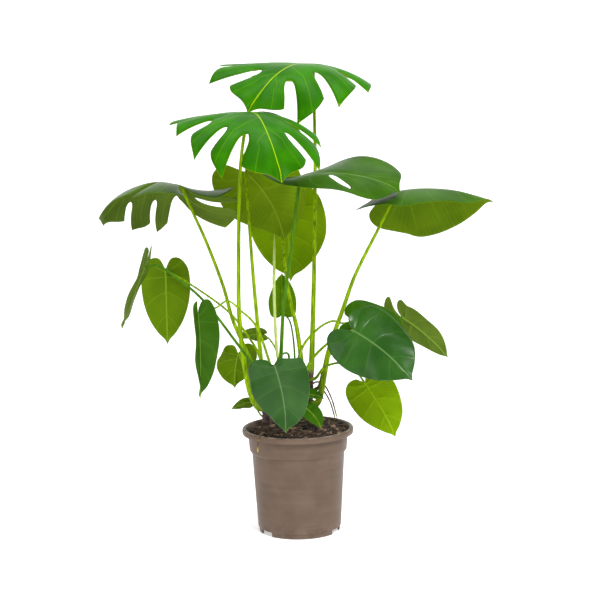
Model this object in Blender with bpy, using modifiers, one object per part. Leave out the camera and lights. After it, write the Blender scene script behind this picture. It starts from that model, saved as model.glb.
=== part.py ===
"""Potted monstera: a nursery pot of soil holding three young plants.

Metres, +Z up, origin on the pot's axis at the ground.  Every leaf blade, leaf
stalk, cane and aerial root is a piece of its own beside the pot and the soil.
"""
from math import cos, pi, radians, sin

import bmesh
import bpy
import numpy as np
from mathutils import Vector

# ------------------------------------------------------------------ pot and soil
GAP = 0.0003
STEPS = 48
RIM_TOP = 0.198
RIM_RADIUS = 0.105
RIM_INNER = 0.0967
LIP_BOTTOM = 0.1876
LIP_WALL = 0.0020
COLLAR_TOP_RADIUS = 0.0943
COLLAR_BOTTOM_RADIUS = 0.0915
COLLAR_BOTTOM = 0.153
BODY_TOP_RADIUS = 0.0873
BODY_BOTTOM_RADIUS = 0.0786
WALL = 0.0017
FOOT_HEIGHT = 0.009
FOOT_RADIUS = 0.0765
FOOT_WALL = 0.0030
FOOT_COUNT = 3
FOOT_NOTCH = 24.0
FOOT_TURN = 335.0
FLOOR = 0.012
DRAIN_RADIUS = 0.005
DRAIN_CIRCLE = 0.048
DRAIN_COUNT = 6
SOIL_EDGE = 0.188
SOIL_CROWN = 0.202
SOIL_HEAP = 0.005
SOIL_HEAP_TURN = radians(40)

# ------------------------------------------------------------------ leaf outlines
# Stations round one half of a blade, from the notch at the stalk to the tip:
# where the vein leaves the midrib, then the margin point along and out from it.
# Along is in blade lengths, out is in half widths.
HEART = (
    (0.000, -0.05, 0.06),
    (0.008, -0.17, 0.26),
    (0.020, -0.17, 0.62),
    (0.050, -0.03, 0.90),
    (0.120, 0.19, 1.00),
    (0.260, 0.44, 0.93),
    (0.450, 0.67, 0.70),
    (0.660, 0.84, 0.37),
    (0.840, 0.93, 0.10),
    (0.950, 1.00, 0.00),
)
BROAD = (
    (0.000, -0.05, 0.06),
    (0.008, -0.20, 0.26),
    (0.020, -0.20, 0.64),
    (0.045, -0.04, 0.92),
    (0.095, 0.22, 1.00),
    (0.190, 0.50, 0.96),
    (0.330, 0.75, 0.80),
    (0.500, 0.90, 0.50),
    (0.720, 0.95, 0.15),
    (0.950, 1.00, 0.00),
)
VEIN_BEND = 0.45
ROUND_END = 0.30
WEB = 0.16
BLADE_THICK = 0.0012
OPEN = 9.0

# ------------------------------------------------------------------ the leaves
# at: where the stalk meets the blade.  heading: compass angle of the midrib from
# +X.  rise: slope of the midrib at the stalk.  arch: how far it bends down by the
# tip.  back: the same for the lobes behind the stalk.  roll, twist: turn about the
# midrib, and its growth to the tip.  skew: turn of the flat pattern within the blade.
# wide: factor on the width of the left and right half.  fold, curl: left and right
# half, at the midrib and round to the margin.  lobes: size of the two lobes behind
# the stalk.  left, right: slits as place round the margin, start, half width and end
# (OPEN runs out through the margin, less than 1 is a hole).
LEAVES = {
    "crown": dict(
        at=(0.042, 0.164, 0.871), heading=268, skew=-28, rise=10, arch=74, back=12, length=0.246,
        half_width=0.135, roll=-4, wide=(1.05, 1.00), fold=(0, 0), curl=(38, 5), lobes=1.3, outline=BROAD,
        left=((0.24, 0.55, 0.018, OPEN), (0.42, 0.50, 0.018, OPEN), (0.61, 0.42, 0.022, OPEN),
              (0.77, 0.36, 0.026, OPEN)),
        right=((0.38, 0.50, 0.022, OPEN), (0.56, 0.46, 0.028, OPEN), (0.73, 0.40, 0.032, OPEN))),
    "top_left": dict(
        at=(-0.080, -0.030, 0.792), heading=270, skew=14, rise=10, arch=72, back=-10, length=0.268,
        half_width=0.145, wide=(0.82, 1.00), fold=(0, 0), curl=(45, 12), lobes=1.3, outline=BROAD,
        left=((0.34, 0.50, 0.018, OPEN), (0.54, 0.48, 0.018, OPEN), (0.72, 0.46, 0.024, OPEN)),
        right=((0.24, 0.60, 0.014, OPEN), (0.40, 0.70, 0.014, OPEN), (0.52, 0.58, 0.018, OPEN),
               (0.63, 0.50, 0.018, OPEN), (0.75, 0.42, 0.026, OPEN))),
    "upper_right": dict(
        at=(0.012, -0.020, 0.672), heading=-12, rise=14, arch=45, back=-25, length=0.195, half_width=0.092,
        wide=(1.15, 0.76), roll=2, twist=28, fold=(0, 0), curl=(5, 25), ease=0.5, lobes=2.2, outline=BROAD,
        left=((0.34, 0.35, 0.025, OPEN),),
        right=((0.62, 0.22, 0.026, 0.80),)),
    "centre": dict(
        at=(-0.090, 0.098, 0.673), heading=5, rise=-42, arch=40, back=-15, roll=-80, length=0.155,
        half_width=0.082, fold=(10, 5), curl=(20, 15), lobes=1.2),
    "centre_back": dict(
        at=(-0.015, 0.156, 0.606), heading=80, rise=-70, arch=15, back=-10, length=0.162, half_width=0.078,
        fold=(5, 5), curl=(15, 15), lobes=1.2),
    "left": dict(
        at=(-0.206, 0.008, 0.656), heading=177, rise=20, arch=90, back=-15, length=0.186, half_width=0.105,
        wide=(1.00, 0.90), roll=5, twist=5, fold=(5, -52), curl=(30, 30), lobes=2.4, outline=BROAD,
        left=((0.30, 0.30, 0.026, OPEN), (0.55, 0.30, 0.024, OPEN)),
        right=((0.16, 0.45, 0.020, OPEN), (0.34, 0.28, 0.060, OPEN), (0.58, 0.40, 0.026, OPEN),
               (0.78, 0.40, 0.022, OPEN))),
    "right": dict(
        at=(0.192, 0.000, 0.641), heading=-17, rise=10, arch=32, back=10, length=0.185, half_width=0.098,
        wide=(1.00, 0.80), roll=0, fold=(-64, -8), curl=(15, 20), lobes=2.3),
    "left_heart": dict(
        at=(-0.243, 0.030, 0.497), heading=95, rise=-75, arch=25, back=-10, length=0.145, half_width=0.046,
        fold=(5, 5), curl=(10, 10), lobes=0.9),
    "left_edge": dict(
        at=(-0.276, -0.040, 0.513), heading=172, rise=-66, arch=5, back=-10, length=0.128, half_width=0.046,
        fold=(5, 5), curl=(10, 10), lobes=1.7),
    "left_folded": dict(
        at=(-0.178, -0.090, 0.432), heading=-40, rise=-85, arch=10, back=-10, length=0.158, half_width=0.038,
        fold=(35, 35), curl=(10, 10), lobes=0.9),
    "low_left": dict(
        at=(-0.112, 0.080, 0.327), heading=110, rise=-50, arch=40, back=-40, length=0.080, half_width=0.040,
        fold=(5, 5), curl=(20, 20), lobes=1.3),
    "base_left": dict(
        at=(-0.085, 0.042, 0.240), heading=190, rise=0, arch=40, back=0, length=0.045, half_width=0.022,
        roll=40, fold=(5, 5), curl=(20, 20)),
    "front": dict(
        at=(-0.040, -0.110, 0.337), heading=-20, rise=-70, arch=22, back=-25, roll=100, length=0.127,
        half_width=0.064, fold=(8, 8), curl=(15, 15), lobes=0.55),
    "front_right": dict(
        at=(0.104, -0.080, 0.394), heading=-28, rise=-23, arch=25, back=-20, roll=68, length=0.148,
        half_width=0.068, fold=(-5, 5), curl=(45, 20), lobes=1.0),
    "behind_right": dict(
        at=(0.107, 0.000, 0.398), heading=-10, rise=-5, arch=40, back=-10, roll=55, length=0.115,
        half_width=0.050, fold=(5, 5), curl=(30, 30), lobes=1.0),
    "right_curled": dict(
        at=(0.202, 0.040, 0.396), heading=8, rise=-34, arch=18, back=-40, roll=-66, length=0.122,
        half_width=0.028, fold=(10, 10), curl=(20, 20), lobes=1.9),
    "low_right": dict(
        at=(0.128, -0.010, 0.281), heading=5, rise=-56, arch=12, back=-10, roll=-80, length=0.120,
        half_width=0.047, fold=(5, 5), curl=(15, 15), lobes=0.7),
    "young": dict(
        at=(-0.026, 0.100, 0.400), heading=100, rise=88, arch=-10, back=0, length=0.080, half_width=0.028,
        fold=(20, 20), curl=(10, 10), lobes=0.6),
    "small_back": dict(
        at=(-0.063, 0.080, 0.362), heading=170, rise=10, arch=40, back=0, length=0.045, half_width=0.026,
        roll=40, fold=(5, 5), curl=(15, 15), lobes=1.0),
    "sprout_upper": dict(
        at=(0.014, -0.020, 0.262), heading=-5, rise=10, arch=40, back=0, length=0.038, half_width=0.016,
        roll=25, fold=(20, 20), curl=(20, 20), lobes=1.0),
    "sprout_lower": dict(
        at=(0.018, -0.030, 0.238), heading=-40, rise=-25, arch=40, back=0, length=0.048, half_width=0.018,
        roll=25, fold=(25, 10), curl=(20, 20), lobes=1.0),
}

# ------------------------------------------------------------------ the stalks
# Points from the cane up to the blade of the same name, then the radius at the
# bottom and at the blade.
STALKS = {
    "crown": (((0.028, 0.058, 0.304), (0.033, 0.066, 0.400), (0.038, 0.080, 0.530), (0.043, 0.124, 0.713)),
              0.0065, 0.0028),
    "centre_back": (((0.006, 0.044, 0.266), (0.010, 0.042, 0.300), (0.002, 0.046, 0.376),
                     (-0.014, 0.070, 0.452), (-0.022, 0.120, 0.545)), 0.0070, 0.0024),
    "right": (((0.042, 0.044, 0.240), (0.062, 0.032, 0.338), (0.092, 0.030, 0.424), (0.115, 0.022, 0.486),
               (0.161, 0.000, 0.579)), 0.0065, 0.0026),
    "behind_right": (((-0.006, -0.028, 0.300), (0.012, -0.030, 0.356), (0.041, -0.026, 0.389),
                      (0.068, -0.008, 0.400), (0.088, 0.008, 0.393)), 0.0030, 0.0018),
    "front_right": (((0.004, -0.014, 0.285), (0.028, -0.030, 0.331), (0.053, -0.040, 0.359),
                     (0.075, -0.055, 0.377)), 0.0034, 0.0022),
    "right_curled": (((0.042, 0.064, 0.262), (0.056, 0.058, 0.312), (0.090, 0.056, 0.356),
                      (0.141, 0.052, 0.387)), 0.0034, 0.0020),
    "low_right": (((0.036, 0.030, 0.285), (0.053, 0.014, 0.309), (0.083, 0.004, 0.318),
                   (0.108, 0.000, 0.306)), 0.0030, 0.0018),
    "upper_right": (((-0.034, -0.022, 0.280), (-0.028, -0.024, 0.350), (-0.022, -0.026, 0.430),
                     (-0.006, -0.026, 0.537)), 0.0050, 0.0024),
    "young": (((-0.006, -0.002, 0.305), (-0.004, 0.050, 0.338), (-0.011, 0.118, 0.378)), 0.0026, 0.0014),
    "front": (((-0.016, -0.030, 0.290), (-0.014, -0.055, 0.345), (-0.028, -0.088, 0.352)), 0.0030, 0.0016),
    "left_folded": (((-0.040, -0.006, 0.290), (-0.070, -0.040, 0.392), (-0.102, -0.050, 0.431),
                     (-0.124, -0.055, 0.449), (-0.146, -0.064, 0.438)), 0.0028, 0.0016),
    "small_back": (((-0.026, 0.010, 0.290), (-0.036, 0.044, 0.332), (-0.050, 0.066, 0.354)), 0.0030, 0.0016),
    "top_left": (((-0.078, 0.022, 0.236), (-0.093, 0.004, 0.285), (-0.104, -0.012, 0.390),
                  (-0.104, -0.022, 0.500), (-0.096, -0.030, 0.688)), 0.0070, 0.0028),
    "centre": (((-0.062, 0.026, 0.2650), (-0.067, 0.022, 0.324), (-0.077, 0.038, 0.456),
                (-0.085, 0.056, 0.590)), 0.0060, 0.0024),
    "left": (((-0.070, 0.046, 0.268), (-0.090, 0.030, 0.328), (-0.118, 0.020, 0.400),
              (-0.135, 0.014, 0.468), (-0.163, 0.010, 0.549), (-0.188, 0.008, 0.609)), 0.0045, 0.0026),
    "left_heart": (((-0.050, 0.050, 0.240), (-0.070, 0.062, 0.320), (-0.090, 0.056, 0.361),
                    (-0.128, 0.044, 0.414), (-0.197, 0.026, 0.470)), 0.0030, 0.0018),
    "left_edge": (((-0.054, 0.018, 0.232), (-0.078, -0.016, 0.312), (-0.114, -0.034, 0.372),
                   (-0.172, -0.044, 0.452), (-0.236, -0.045, 0.507), (-0.256, -0.044, 0.516)), 0.0034, 0.0020),
    "low_left": (((-0.072, 0.058, 0.235), (-0.096, 0.068, 0.290)), 0.0030, 0.0016),
    "base_left": (((-0.071, 0.036, 0.215), (-0.078, 0.039, 0.227)), 0.0020, 0.0014),
    "sprout_upper": (((0.012, 0.030, 0.250), (0.010, 0.004, 0.262)), 0.0024, 0.0014),
    "sprout_lower": (((0.022, 0.034, 0.225), (0.016, 0.000, 0.240)), 0.0024, 0.0014),
}
# a rolled new leaf, the canes, and the aerial roots, from bottom to top
RODS = {
    "rolled_leaf": (((-0.030, 0.006, 0.310), (-0.037, 0.020, 0.345), (-0.040, 0.060, 0.450),
                     (-0.038, 0.126, 0.549)), 0.0030, 0.0020),
    "green_stub": (((-0.003, -0.004, 0.206), (-0.004, 0.000, 0.230), (-0.005, 0.004, 0.260)), 0.0016, 0.0030),
    "cane_left": (((-0.060, 0.035, 0.198), (-0.060, 0.035, 0.228), (-0.060, 0.034, 0.258)), 0.0080, 0.0070),
    "cane_centre": (((-0.020, -0.012, 0.202), (-0.021, -0.012, 0.250), (-0.022, -0.012, 0.296)),
                    0.0080, 0.0070),
    "cane_right": (((0.022, 0.056, 0.200), (0.023, 0.056, 0.250), (0.026, 0.056, 0.297)), 0.0080, 0.0070),
    "root_right_inner": (((0.036, 0.050, 0.262), (0.046, 0.050, 0.262), (0.062, 0.046, 0.236),
                         (0.072, 0.042, 0.2010)), 0.0018, 0.0013),
    "root_right_outer": (((0.037, 0.057, 0.272), (0.052, 0.058, 0.266), (0.066, 0.054, 0.238),
                         (0.076, 0.048, 0.2000)), 0.0018, 0.0012),
    "root_left": (((-0.060, -0.062, 0.1990), (-0.065, -0.080, 0.2050), (-0.070, -0.099, 0.2030),
                   (-0.073, -0.108, 0.1960), (-0.074, -0.109, 0.1760)), 0.0020, 0.0014),
    "root_centre": (((-0.018, -0.026, 0.222), (-0.017, -0.030, 0.212), (-0.013, -0.036, 0.2005)),
                    0.0018, 0.0012),
}


def station(rows, s):
    """Catmull-Rom curve through the outline stations, s from 0 to 1."""
    knots = np.array([rows[0], *rows, rows[-1]])
    place = np.clip(s, 0.0, 1.0) * (len(rows) - 1)
    first = np.minimum(place.astype(int), len(rows) - 2)
    f = (place - first)[..., None]
    a, b, c, d = (knots[first + k] for k in range(4))
    return 0.5 * (2 * b + (c - a) * f + (2 * a - 5 * b + 4 * c - d) * f ** 2
                  + (3 * b - a - 3 * c + d) * f ** 3)


def gap_width(slit, t):
    """Half width of a slit at t: nothing before its start, then a round end."""
    start, width, stop = slit[1], slit[2], slit[3]
    opened = np.clip((t - start) / (ROUND_END * (min(stop, 1.0) - start)), 0.0, 1.0)
    closed = np.ones_like(t)
    if stop < 1.0:
        closed = np.clip((stop - t) / (ROUND_END * (stop - start)), 0.0, 1.0)
    return width * np.sqrt(1 - (1 - opened) ** 2) * np.sqrt(1 - (1 - closed) ** 2)


def corner_reach(slit, t):
    """How much of the lobe's corner shows at t: all at the margin, none in the web."""
    if slit[3] < 1.0:
        return np.zeros_like(t)
    return np.clip((t - slit[1]) / (1 - slit[1]), 0.0, 1.0) ** 3


def lobe_rows(slits, total):
    """Row numbers where the lobes of one half begin and end."""
    return [0, *(round(total * slit[0]) for slit in slits), total]


def lobe_grid(slits, lobe, total, outward, corner):
    """s and t of one lobe: a grid between the slit before it and the one after.

    Rows are numbered over the whole half, and inside the web they ease into even
    steps, so that the two halves meet on the same points of the midrib.
    """
    bounds = lobe_rows(slits, total)
    row = np.arange(bounds[lobe], bounds[lobe + 1] + 1)
    row, t = np.meshgrid(row, np.linspace(0, 1, outward + 1), indexing="ij")
    u = (row - bounds[lobe]) / (bounds[lobe + 1] - bounds[lobe])
    low = np.zeros_like(t)
    high = np.ones_like(t)
    reach = np.zeros_like(t)
    if lobe > 0:
        low = slits[lobe - 1][0] + gap_width(slits[lobe - 1], t)
        reach = reach - corner * (1 - u) ** 3 * corner_reach(slits[lobe - 1], t)
    if lobe < len(slits):
        high = slits[lobe][0] - gap_width(slits[lobe], t)
        reach = reach + 0.6 * corner * u ** 3 * corner_reach(slits[lobe], t)
    web = np.clip(t / WEB, 0.0, 1.0)
    s = low + (high - low) * u
    return row / total * (1 - web) + s * web, t * (1 + reach)


def flat_blade(leaf, s, t):
    """Place in the flat blade, in metres: along the midrib and out from it."""
    start, along, out = np.moveaxis(station(leaf.get("outline", HEART), s), -1, 0)
    x = start + (along - start) * t * (VEIN_BEND + (1 - VEIN_BEND) * t)
    x = x * np.where(x < 0, leaf.get("lobes", 1.0), 1.0)
    return x * leaf["length"], out * t * leaf["half_width"]


def bend_blade(leaf, side, x, y, s):
    """Carries the flat blade into space.

    The flat pattern is first turned by skew.  Its x then follows a circular arc in
    an upright plane, each side of that line is folded and curled as a circular arc,
    and the frame rolls about the line.
    """
    skew = radians(leaf.get("skew", 0))
    y = y * leaf.get("wide", (1.0, 1.0))[0 if side > 0 else 1]
    x, y = x * cos(skew) - side * y * sin(skew), x * sin(skew) + side * y * cos(skew)
    length = leaf["length"]
    rise = radians(leaf["rise"])
    arch = radians(leaf["arch"]) / length + 1e-6
    back = radians(leaf["back"]) / (0.2 * length) + 1e-6
    bend = np.where(x >= 0, -arch, back)
    slope = rise + bend * np.abs(x)
    way = np.where(x >= 0, 1.0, -1.0)
    along = way * (np.sin(slope) - sin(rise)) / bend
    up = way * (cos(rise) - np.cos(slope)) / bend
    heading = radians(leaf["heading"]) + radians(leaf.get("sweep", 0)) * x / length
    flat = np.stack([np.cos(heading), np.sin(heading), 0 * x], -1)
    left = np.stack([-np.sin(heading), np.cos(heading), 0 * x], -1)
    upright = np.zeros_like(flat)
    upright[..., 2] = 1
    spine = np.asarray(leaf["at"]) + flat * along[..., None] + upright * up[..., None]
    normal = upright * np.cos(slope)[..., None] - flat * np.sin(slope)[..., None]
    roll = radians(leaf.get("roll", 0)) + radians(leaf.get("twist", 0)) * np.clip(x / length, -0.3, 1)
    out_dir = left * np.cos(roll)[..., None] + normal * np.sin(roll)[..., None]
    up_dir = normal * np.cos(roll)[..., None] - left * np.sin(roll)[..., None]
    is_left = y > 0 if skew else np.full(y.shape, side > 0)
    fold = np.radians(np.where(is_left, leaf["fold"][0], leaf["fold"][1]))
    curl = np.radians(np.where(is_left, leaf["curl"][0], leaf["curl"][1])) / leaf["half_width"] + 1e-6
    curl = curl * (1 - leaf.get("ease", 0.0) * (1 - s) ** 2)
    turned = fold - curl * np.abs(y)
    out = np.sign(y) * (np.sin(fold) - np.sin(turned)) / curl
    lift = (np.cos(turned) - np.cos(fold)) / curl
    return spine + out_dir * out[..., None] + up_dir * lift[..., None]


def blade_frame(leaf):
    """Up direction of the blade where the stalk meets it."""
    rise = radians(leaf["rise"])
    heading = radians(leaf["heading"])
    roll = radians(leaf.get("roll", 0))
    flat = np.array([cos(heading), sin(heading), 0.0])
    left = np.array([-sin(heading), cos(heading), 0.0])
    normal = np.array([0.0, 0.0, cos(rise)]) - flat * sin(rise)
    return normal * cos(roll) - left * sin(roll)


def smooth_path(points, count):
    """Catmull-Rom curve through the points, as evenly numbered samples."""
    knots = np.array(points, float)
    knots = np.vstack([2 * knots[0] - knots[1], knots, 2 * knots[-1] - knots[-2]])
    place = np.linspace(0, len(points) - 1, count)
    first = np.minimum(place.astype(int), len(points) - 2)
    f = (place - first)[:, None]
    a, b, c, d = (knots[first + k] for k in range(4))
    return 0.5 * (2 * b + (c - a) * f + (2 * a - 5 * b + 4 * c - d) * f ** 2
                  + (3 * b - a - 3 * c + d) * f ** 3)


def stalk_path(name):
    """A stalk from its cane to just under its blade, and its radius on the way."""
    points, low, high = STALKS[name]
    leaf = LEAVES[name]
    widest = radians(max(0, -min(leaf["fold"])))
    clear = (BLADE_THICK / 2 + GAP + high) / cos(min(widest, 1.1)) + 0.0004
    end = np.array(leaf["at"]) - blade_frame(leaf) * clear
    path = smooth_path([*points, tuple(end)], 2 * len(points) + 3)
    return path, np.linspace(1, 0, len(path)) ** 1.5 * (low - high) + high


# ------------------------------------------------------------------ building
def clear_scene():
    for item in list(bpy.data.objects):
        bpy.data.objects.remove(item, do_unlink=True)


def new_collection(name):
    group = bpy.data.collections.new(name)
    bpy.context.scene.collection.children.link(group)
    return group


def new_material(name, colour, roughness):
    material = bpy.data.materials.new(name)
    material.use_nodes = True
    shader = material.node_tree.nodes["Principled BSDF"]
    shader.inputs["Base Color"].default_value = (*colour, 1.0)
    shader.inputs["Roughness"].default_value = roughness
    shader.inputs["Metallic"].default_value = 0.0
    material.diffuse_color = (*colour, 1.0)
    return material


def add_object(group, name, data, material):
    item = bpy.data.objects.new(name, data)
    group.objects.link(item)
    data.materials.append(material)
    return item


def apply_modifiers(item):
    """Turns an object into the plain mesh its curve and modifiers make."""
    bpy.context.view_layer.update()
    graph = bpy.context.evaluated_depsgraph_get()
    mesh = bpy.data.meshes.new_from_object(item.evaluated_get(graph))
    mesh.name = item.name
    return mesh


def close_mesh(mesh, weld=1e-5):
    """Welds the seams and turns every face outwards."""
    work = bmesh.new()
    work.from_mesh(mesh)
    bmesh.ops.remove_doubles(work, verts=work.verts, dist=weld)
    bmesh.ops.dissolve_degenerate(work, edges=work.edges, dist=1e-6)
    bmesh.ops.recalc_face_normals(work, faces=work.faces)
    work.to_mesh(mesh)
    work.free()


def turned_piece(group, name, profile, material):
    """A piece turned from its half section about the upright axis."""
    mesh = bpy.data.meshes.new(name)
    points = [(radius, 0.0, height) for radius, height in profile]
    count = len(points)
    edges = [(k, k + 1) for k in range(count - 1)]
    mesh.from_pydata(points, edges, [])
    item = add_object(group, name, mesh, material)
    screw = item.modifiers.new("turn", "SCREW")
    screw.steps = STEPS
    screw.render_steps = STEPS
    screw.use_merge_vertices = True
    screw.merge_threshold = 1e-5
    item.data = apply_modifiers(item)
    item.modifiers.clear()
    close_mesh(item.data)
    return item


def cutter_piece(group, name, mesh):
    item = bpy.data.objects.new(name, mesh)
    group.objects.link(item)
    item.display_type = "WIRE"
    item.hide_render = True
    return item


def build_pot(group, cutters, material):
    """The pot: tapered body, collar, rolled lip, foot ring and drain holes."""
    inner_top = COLLAR_TOP_RADIUS - WALL
    profile = [
        (0.0, FLOOR + WALL),
        (BODY_BOTTOM_RADIUS - WALL, FLOOR + WALL),
        (BODY_TOP_RADIUS - WALL, COLLAR_BOTTOM),
        (COLLAR_BOTTOM_RADIUS - WALL, COLLAR_BOTTOM + 0.0045),
        (inner_top, LIP_BOTTOM),
        (RIM_INNER, RIM_TOP - 0.0035),
        (RIM_INNER + 0.0012, RIM_TOP - 0.0008),
        (RIM_INNER + 0.0032, RIM_TOP),
        (RIM_RADIUS - 0.0022, RIM_TOP - 0.0003),
        (RIM_RADIUS - 0.0006, RIM_TOP - 0.0016),
        (RIM_RADIUS, RIM_TOP - 0.0040),
        (RIM_RADIUS, LIP_BOTTOM + 0.0006),
        (RIM_RADIUS - 0.0006, LIP_BOTTOM),
        (RIM_RADIUS - LIP_WALL, LIP_BOTTOM),
        (RIM_RADIUS - LIP_WALL, RIM_TOP - 0.0035),
        (COLLAR_TOP_RADIUS + 0.0035, RIM_TOP - 0.0045),
        (COLLAR_TOP_RADIUS, LIP_BOTTOM),
        (COLLAR_BOTTOM_RADIUS + 0.0004, COLLAR_BOTTOM + 0.0050),
        (COLLAR_BOTTOM_RADIUS - 0.0010, COLLAR_BOTTOM + 0.0020),
        (BODY_TOP_RADIUS + 0.0008, COLLAR_BOTTOM + 0.0003),
        (BODY_TOP_RADIUS, COLLAR_BOTTOM - 0.0010),
        (BODY_BOTTOM_RADIUS, FOOT_HEIGHT + 0.0008),
        (BODY_BOTTOM_RADIUS - 0.0008, FOOT_HEIGHT),
        (FOOT_RADIUS, FOOT_HEIGHT),
        (FOOT_RADIUS, 0.0008),
        (FOOT_RADIUS - 0.0008, 0.0),
        (FOOT_RADIUS - FOOT_WALL, 0.0),
        (FOOT_RADIUS - FOOT_WALL, FLOOR),
        (0.0, FLOOR),
    ]
    pot = turned_piece(group, "pot", profile, material)
    height = FOOT_HEIGHT - 0.0006
    for k in range(FOOT_COUNT):
        angle = radians(FOOT_TURN + k * 360 / FOOT_COUNT)
        mesh = bpy.data.meshes.new("notch")
        work = bmesh.new()
        bmesh.ops.create_cube(work, size=1.0)
        for vert in work.verts:
            reach = FOOT_RADIUS - 0.010 + 0.020 * (vert.co.x + 0.5)
            turn = angle + radians(FOOT_NOTCH) * vert.co.y
            level = -0.002 + (height + 0.002) * (vert.co.z + 0.5)
            vert.co = Vector((reach * cos(turn), reach * sin(turn), level))
        bmesh.ops.recalc_face_normals(work, faces=work.faces)
        work.to_mesh(mesh)
        work.free()
        cut(pot, cutter_piece(cutters, "notch", mesh))
    for k in range(DRAIN_COUNT):
        angle = 2 * pi * (k + 0.5) / DRAIN_COUNT
        mesh = bpy.data.meshes.new("drain")
        work = bmesh.new()
        bmesh.ops.create_cone(work, cap_ends=True, segments=16, radius1=DRAIN_RADIUS, radius2=DRAIN_RADIUS,
                              depth=0.020)
        for vert in work.verts:
            vert.co += Vector((DRAIN_CIRCLE * cos(angle), DRAIN_CIRCLE * sin(angle), FLOOR))
        work.to_mesh(mesh)
        work.free()
        cut(pot, cutter_piece(cutters, "drain", mesh))
    pot.data = apply_modifiers(pot)
    pot.modifiers.clear()
    close_mesh(pot.data)
    return pot


def cut(item, cutter):
    boolean = item.modifiers.new("cut", "BOOLEAN")
    boolean.operation = "DIFFERENCE"
    boolean.solver = "EXACT"
    boolean.object = cutter


def build_soil(group, material):
    """The soil: fills the pot to just under the rim, domed and a little uneven."""
    wall = WALL + GAP
    rings = 5
    top = [(0.0, SOIL_CROWN)]
    edge_radius = COLLAR_TOP_RADIUS - wall - 0.0004
    for k in range(1, rings + 1):
        share = k / rings
        top.append((edge_radius * share, SOIL_EDGE + (SOIL_CROWN - SOIL_EDGE) * (1 - share ** 2)))
    profile = top + [
        (COLLAR_BOTTOM_RADIUS - wall - 0.0003, COLLAR_BOTTOM + 0.0055),
        (BODY_TOP_RADIUS - wall - 0.0003, COLLAR_BOTTOM + 0.0006),
        (BODY_BOTTOM_RADIUS - wall - 0.0003, FLOOR + WALL + GAP),
        (0.0, FLOOR + WALL + GAP),
    ]
    soil = turned_piece(group, "soil", profile, material)
    for vert in soil.data.vertices:
        x, y, z = vert.co
        if z > SOIL_EDGE - 0.0005:
            heap = max(0.0, x * cos(SOIL_HEAP_TURN) + y * sin(SOIL_HEAP_TURN)) / edge_radius
            vert.co.z += SOIL_HEAP * heap + 0.0010 * sin(150 * x + 1.0) * cos(130 * y)
    return soil


def build_blade(group, name, leaf, material, across, outward):
    """One leaf blade: a grid for each lobe, welded along the veins, then thickened."""
    mesh = bpy.data.meshes.new(name)
    work = bmesh.new()
    for side, key in ((1, "left"), (-1, "right")):
        slits = leaf.get(key, ())
        for lobe in range(len(slits) + 1):
            s, t = lobe_grid(slits, lobe, across, outward, leaf.get("corner", 0.12))
            rows = len(s) - 1
            x, y = flat_blade(leaf, s, t)
            place = bend_blade(leaf, side, x, y, s)
            verts = [[work.verts.new(place[a, b]) for b in range(outward + 1)] for a in range(rows + 1)]
            for a in range(rows):
                for b in range(outward):
                    ring = (verts[a][b], verts[a + 1][b], verts[a + 1][b + 1], verts[a][b + 1])
                    work.faces.new(ring if side < 0 else ring[::-1])
    bmesh.ops.remove_doubles(work, verts=work.verts, dist=1e-5)
    work.to_mesh(mesh)
    work.free()
    blade = add_object(group, name, mesh, material)
    shell = blade.modifiers.new("thickness", "SOLIDIFY")
    shell.thickness = BLADE_THICK
    shell.offset = 0.0
    blade.data = apply_modifiers(blade)
    blade.modifiers.clear()
    close_mesh(blade.data)
    shade_smooth(blade)
    return blade


def build_rod(group, name, path, radii, material):
    """A round stem along a path, its radius given at every point, ends closed."""
    curve = bpy.data.curves.new(name, "CURVE")
    curve.dimensions = "3D"
    curve.bevel_depth = 1.0
    curve.bevel_resolution = 2
    curve.use_fill_caps = True
    spline = curve.splines.new("POLY")
    spline.points.add(len(path) - 1)
    for point, place, radius in zip(spline.points, path, radii):
        point.co = (*place, 1.0)
        point.radius = radius
    curve_object = bpy.data.objects.new(name + "_curve", curve)
    group.objects.link(curve_object)
    mesh = apply_modifiers(curve_object)
    bpy.data.objects.remove(curve_object, do_unlink=True)
    close_mesh(mesh)
    mesh.materials.clear()
    rod = add_object(group, name, mesh, material)
    shade_smooth(rod)
    return rod


def shade_smooth(item):
    for face in item.data.polygons:
        face.use_smooth = True


def main():
    clear_scene()
    group = new_collection("potted_monstera")
    cutters = new_collection("cutters")
    pot_plastic = new_material("pot_plastic", (0.215, 0.150, 0.115), 0.42)
    earth = new_material("potting_soil", (0.050, 0.028, 0.016), 0.95)
    blade_green = new_material("blade_green", (0.045, 0.150, 0.018), 0.35)
    stalk_green = new_material("stalk_green", (0.160, 0.320, 0.030), 0.40)
    cane_brown = new_material("cane_brown", (0.060, 0.026, 0.024), 0.60)
    root_brown = new_material("root_brown", (0.120, 0.060, 0.030), 0.70)

    shade_smooth(build_pot(group, cutters, pot_plastic))
    shade_smooth(build_soil(group, earth))
    for name, leaf in LEAVES.items():
        split = "left" in leaf or "right" in leaf
        big = leaf["length"] > 0.11
        across, outward = (18, 6) if split else (8, 4) if big else (6, 3)
        build_blade(group, "blade_" + name, leaf, blade_green, across, outward)
    for name in STALKS:
        path, radii = stalk_path(name)
        build_rod(group, "stalk_" + name, path, radii, stalk_green)
    for name, (points, low, high) in RODS.items():
        material = cane_brown if "cane" in name else root_brown if "root" in name else stalk_green
        path = smooth_path(points, 2 * len(points) + 2)
        build_rod(group, name, path, np.linspace(low, high, len(path)), material)


main()
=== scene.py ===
from math import cos, pi, radians, sin

import bpy
import numpy as np
from bpy.props import FloatProperty, FloatVectorProperty, IntProperty, PointerProperty
from mathutils import Matrix, Vector


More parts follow.
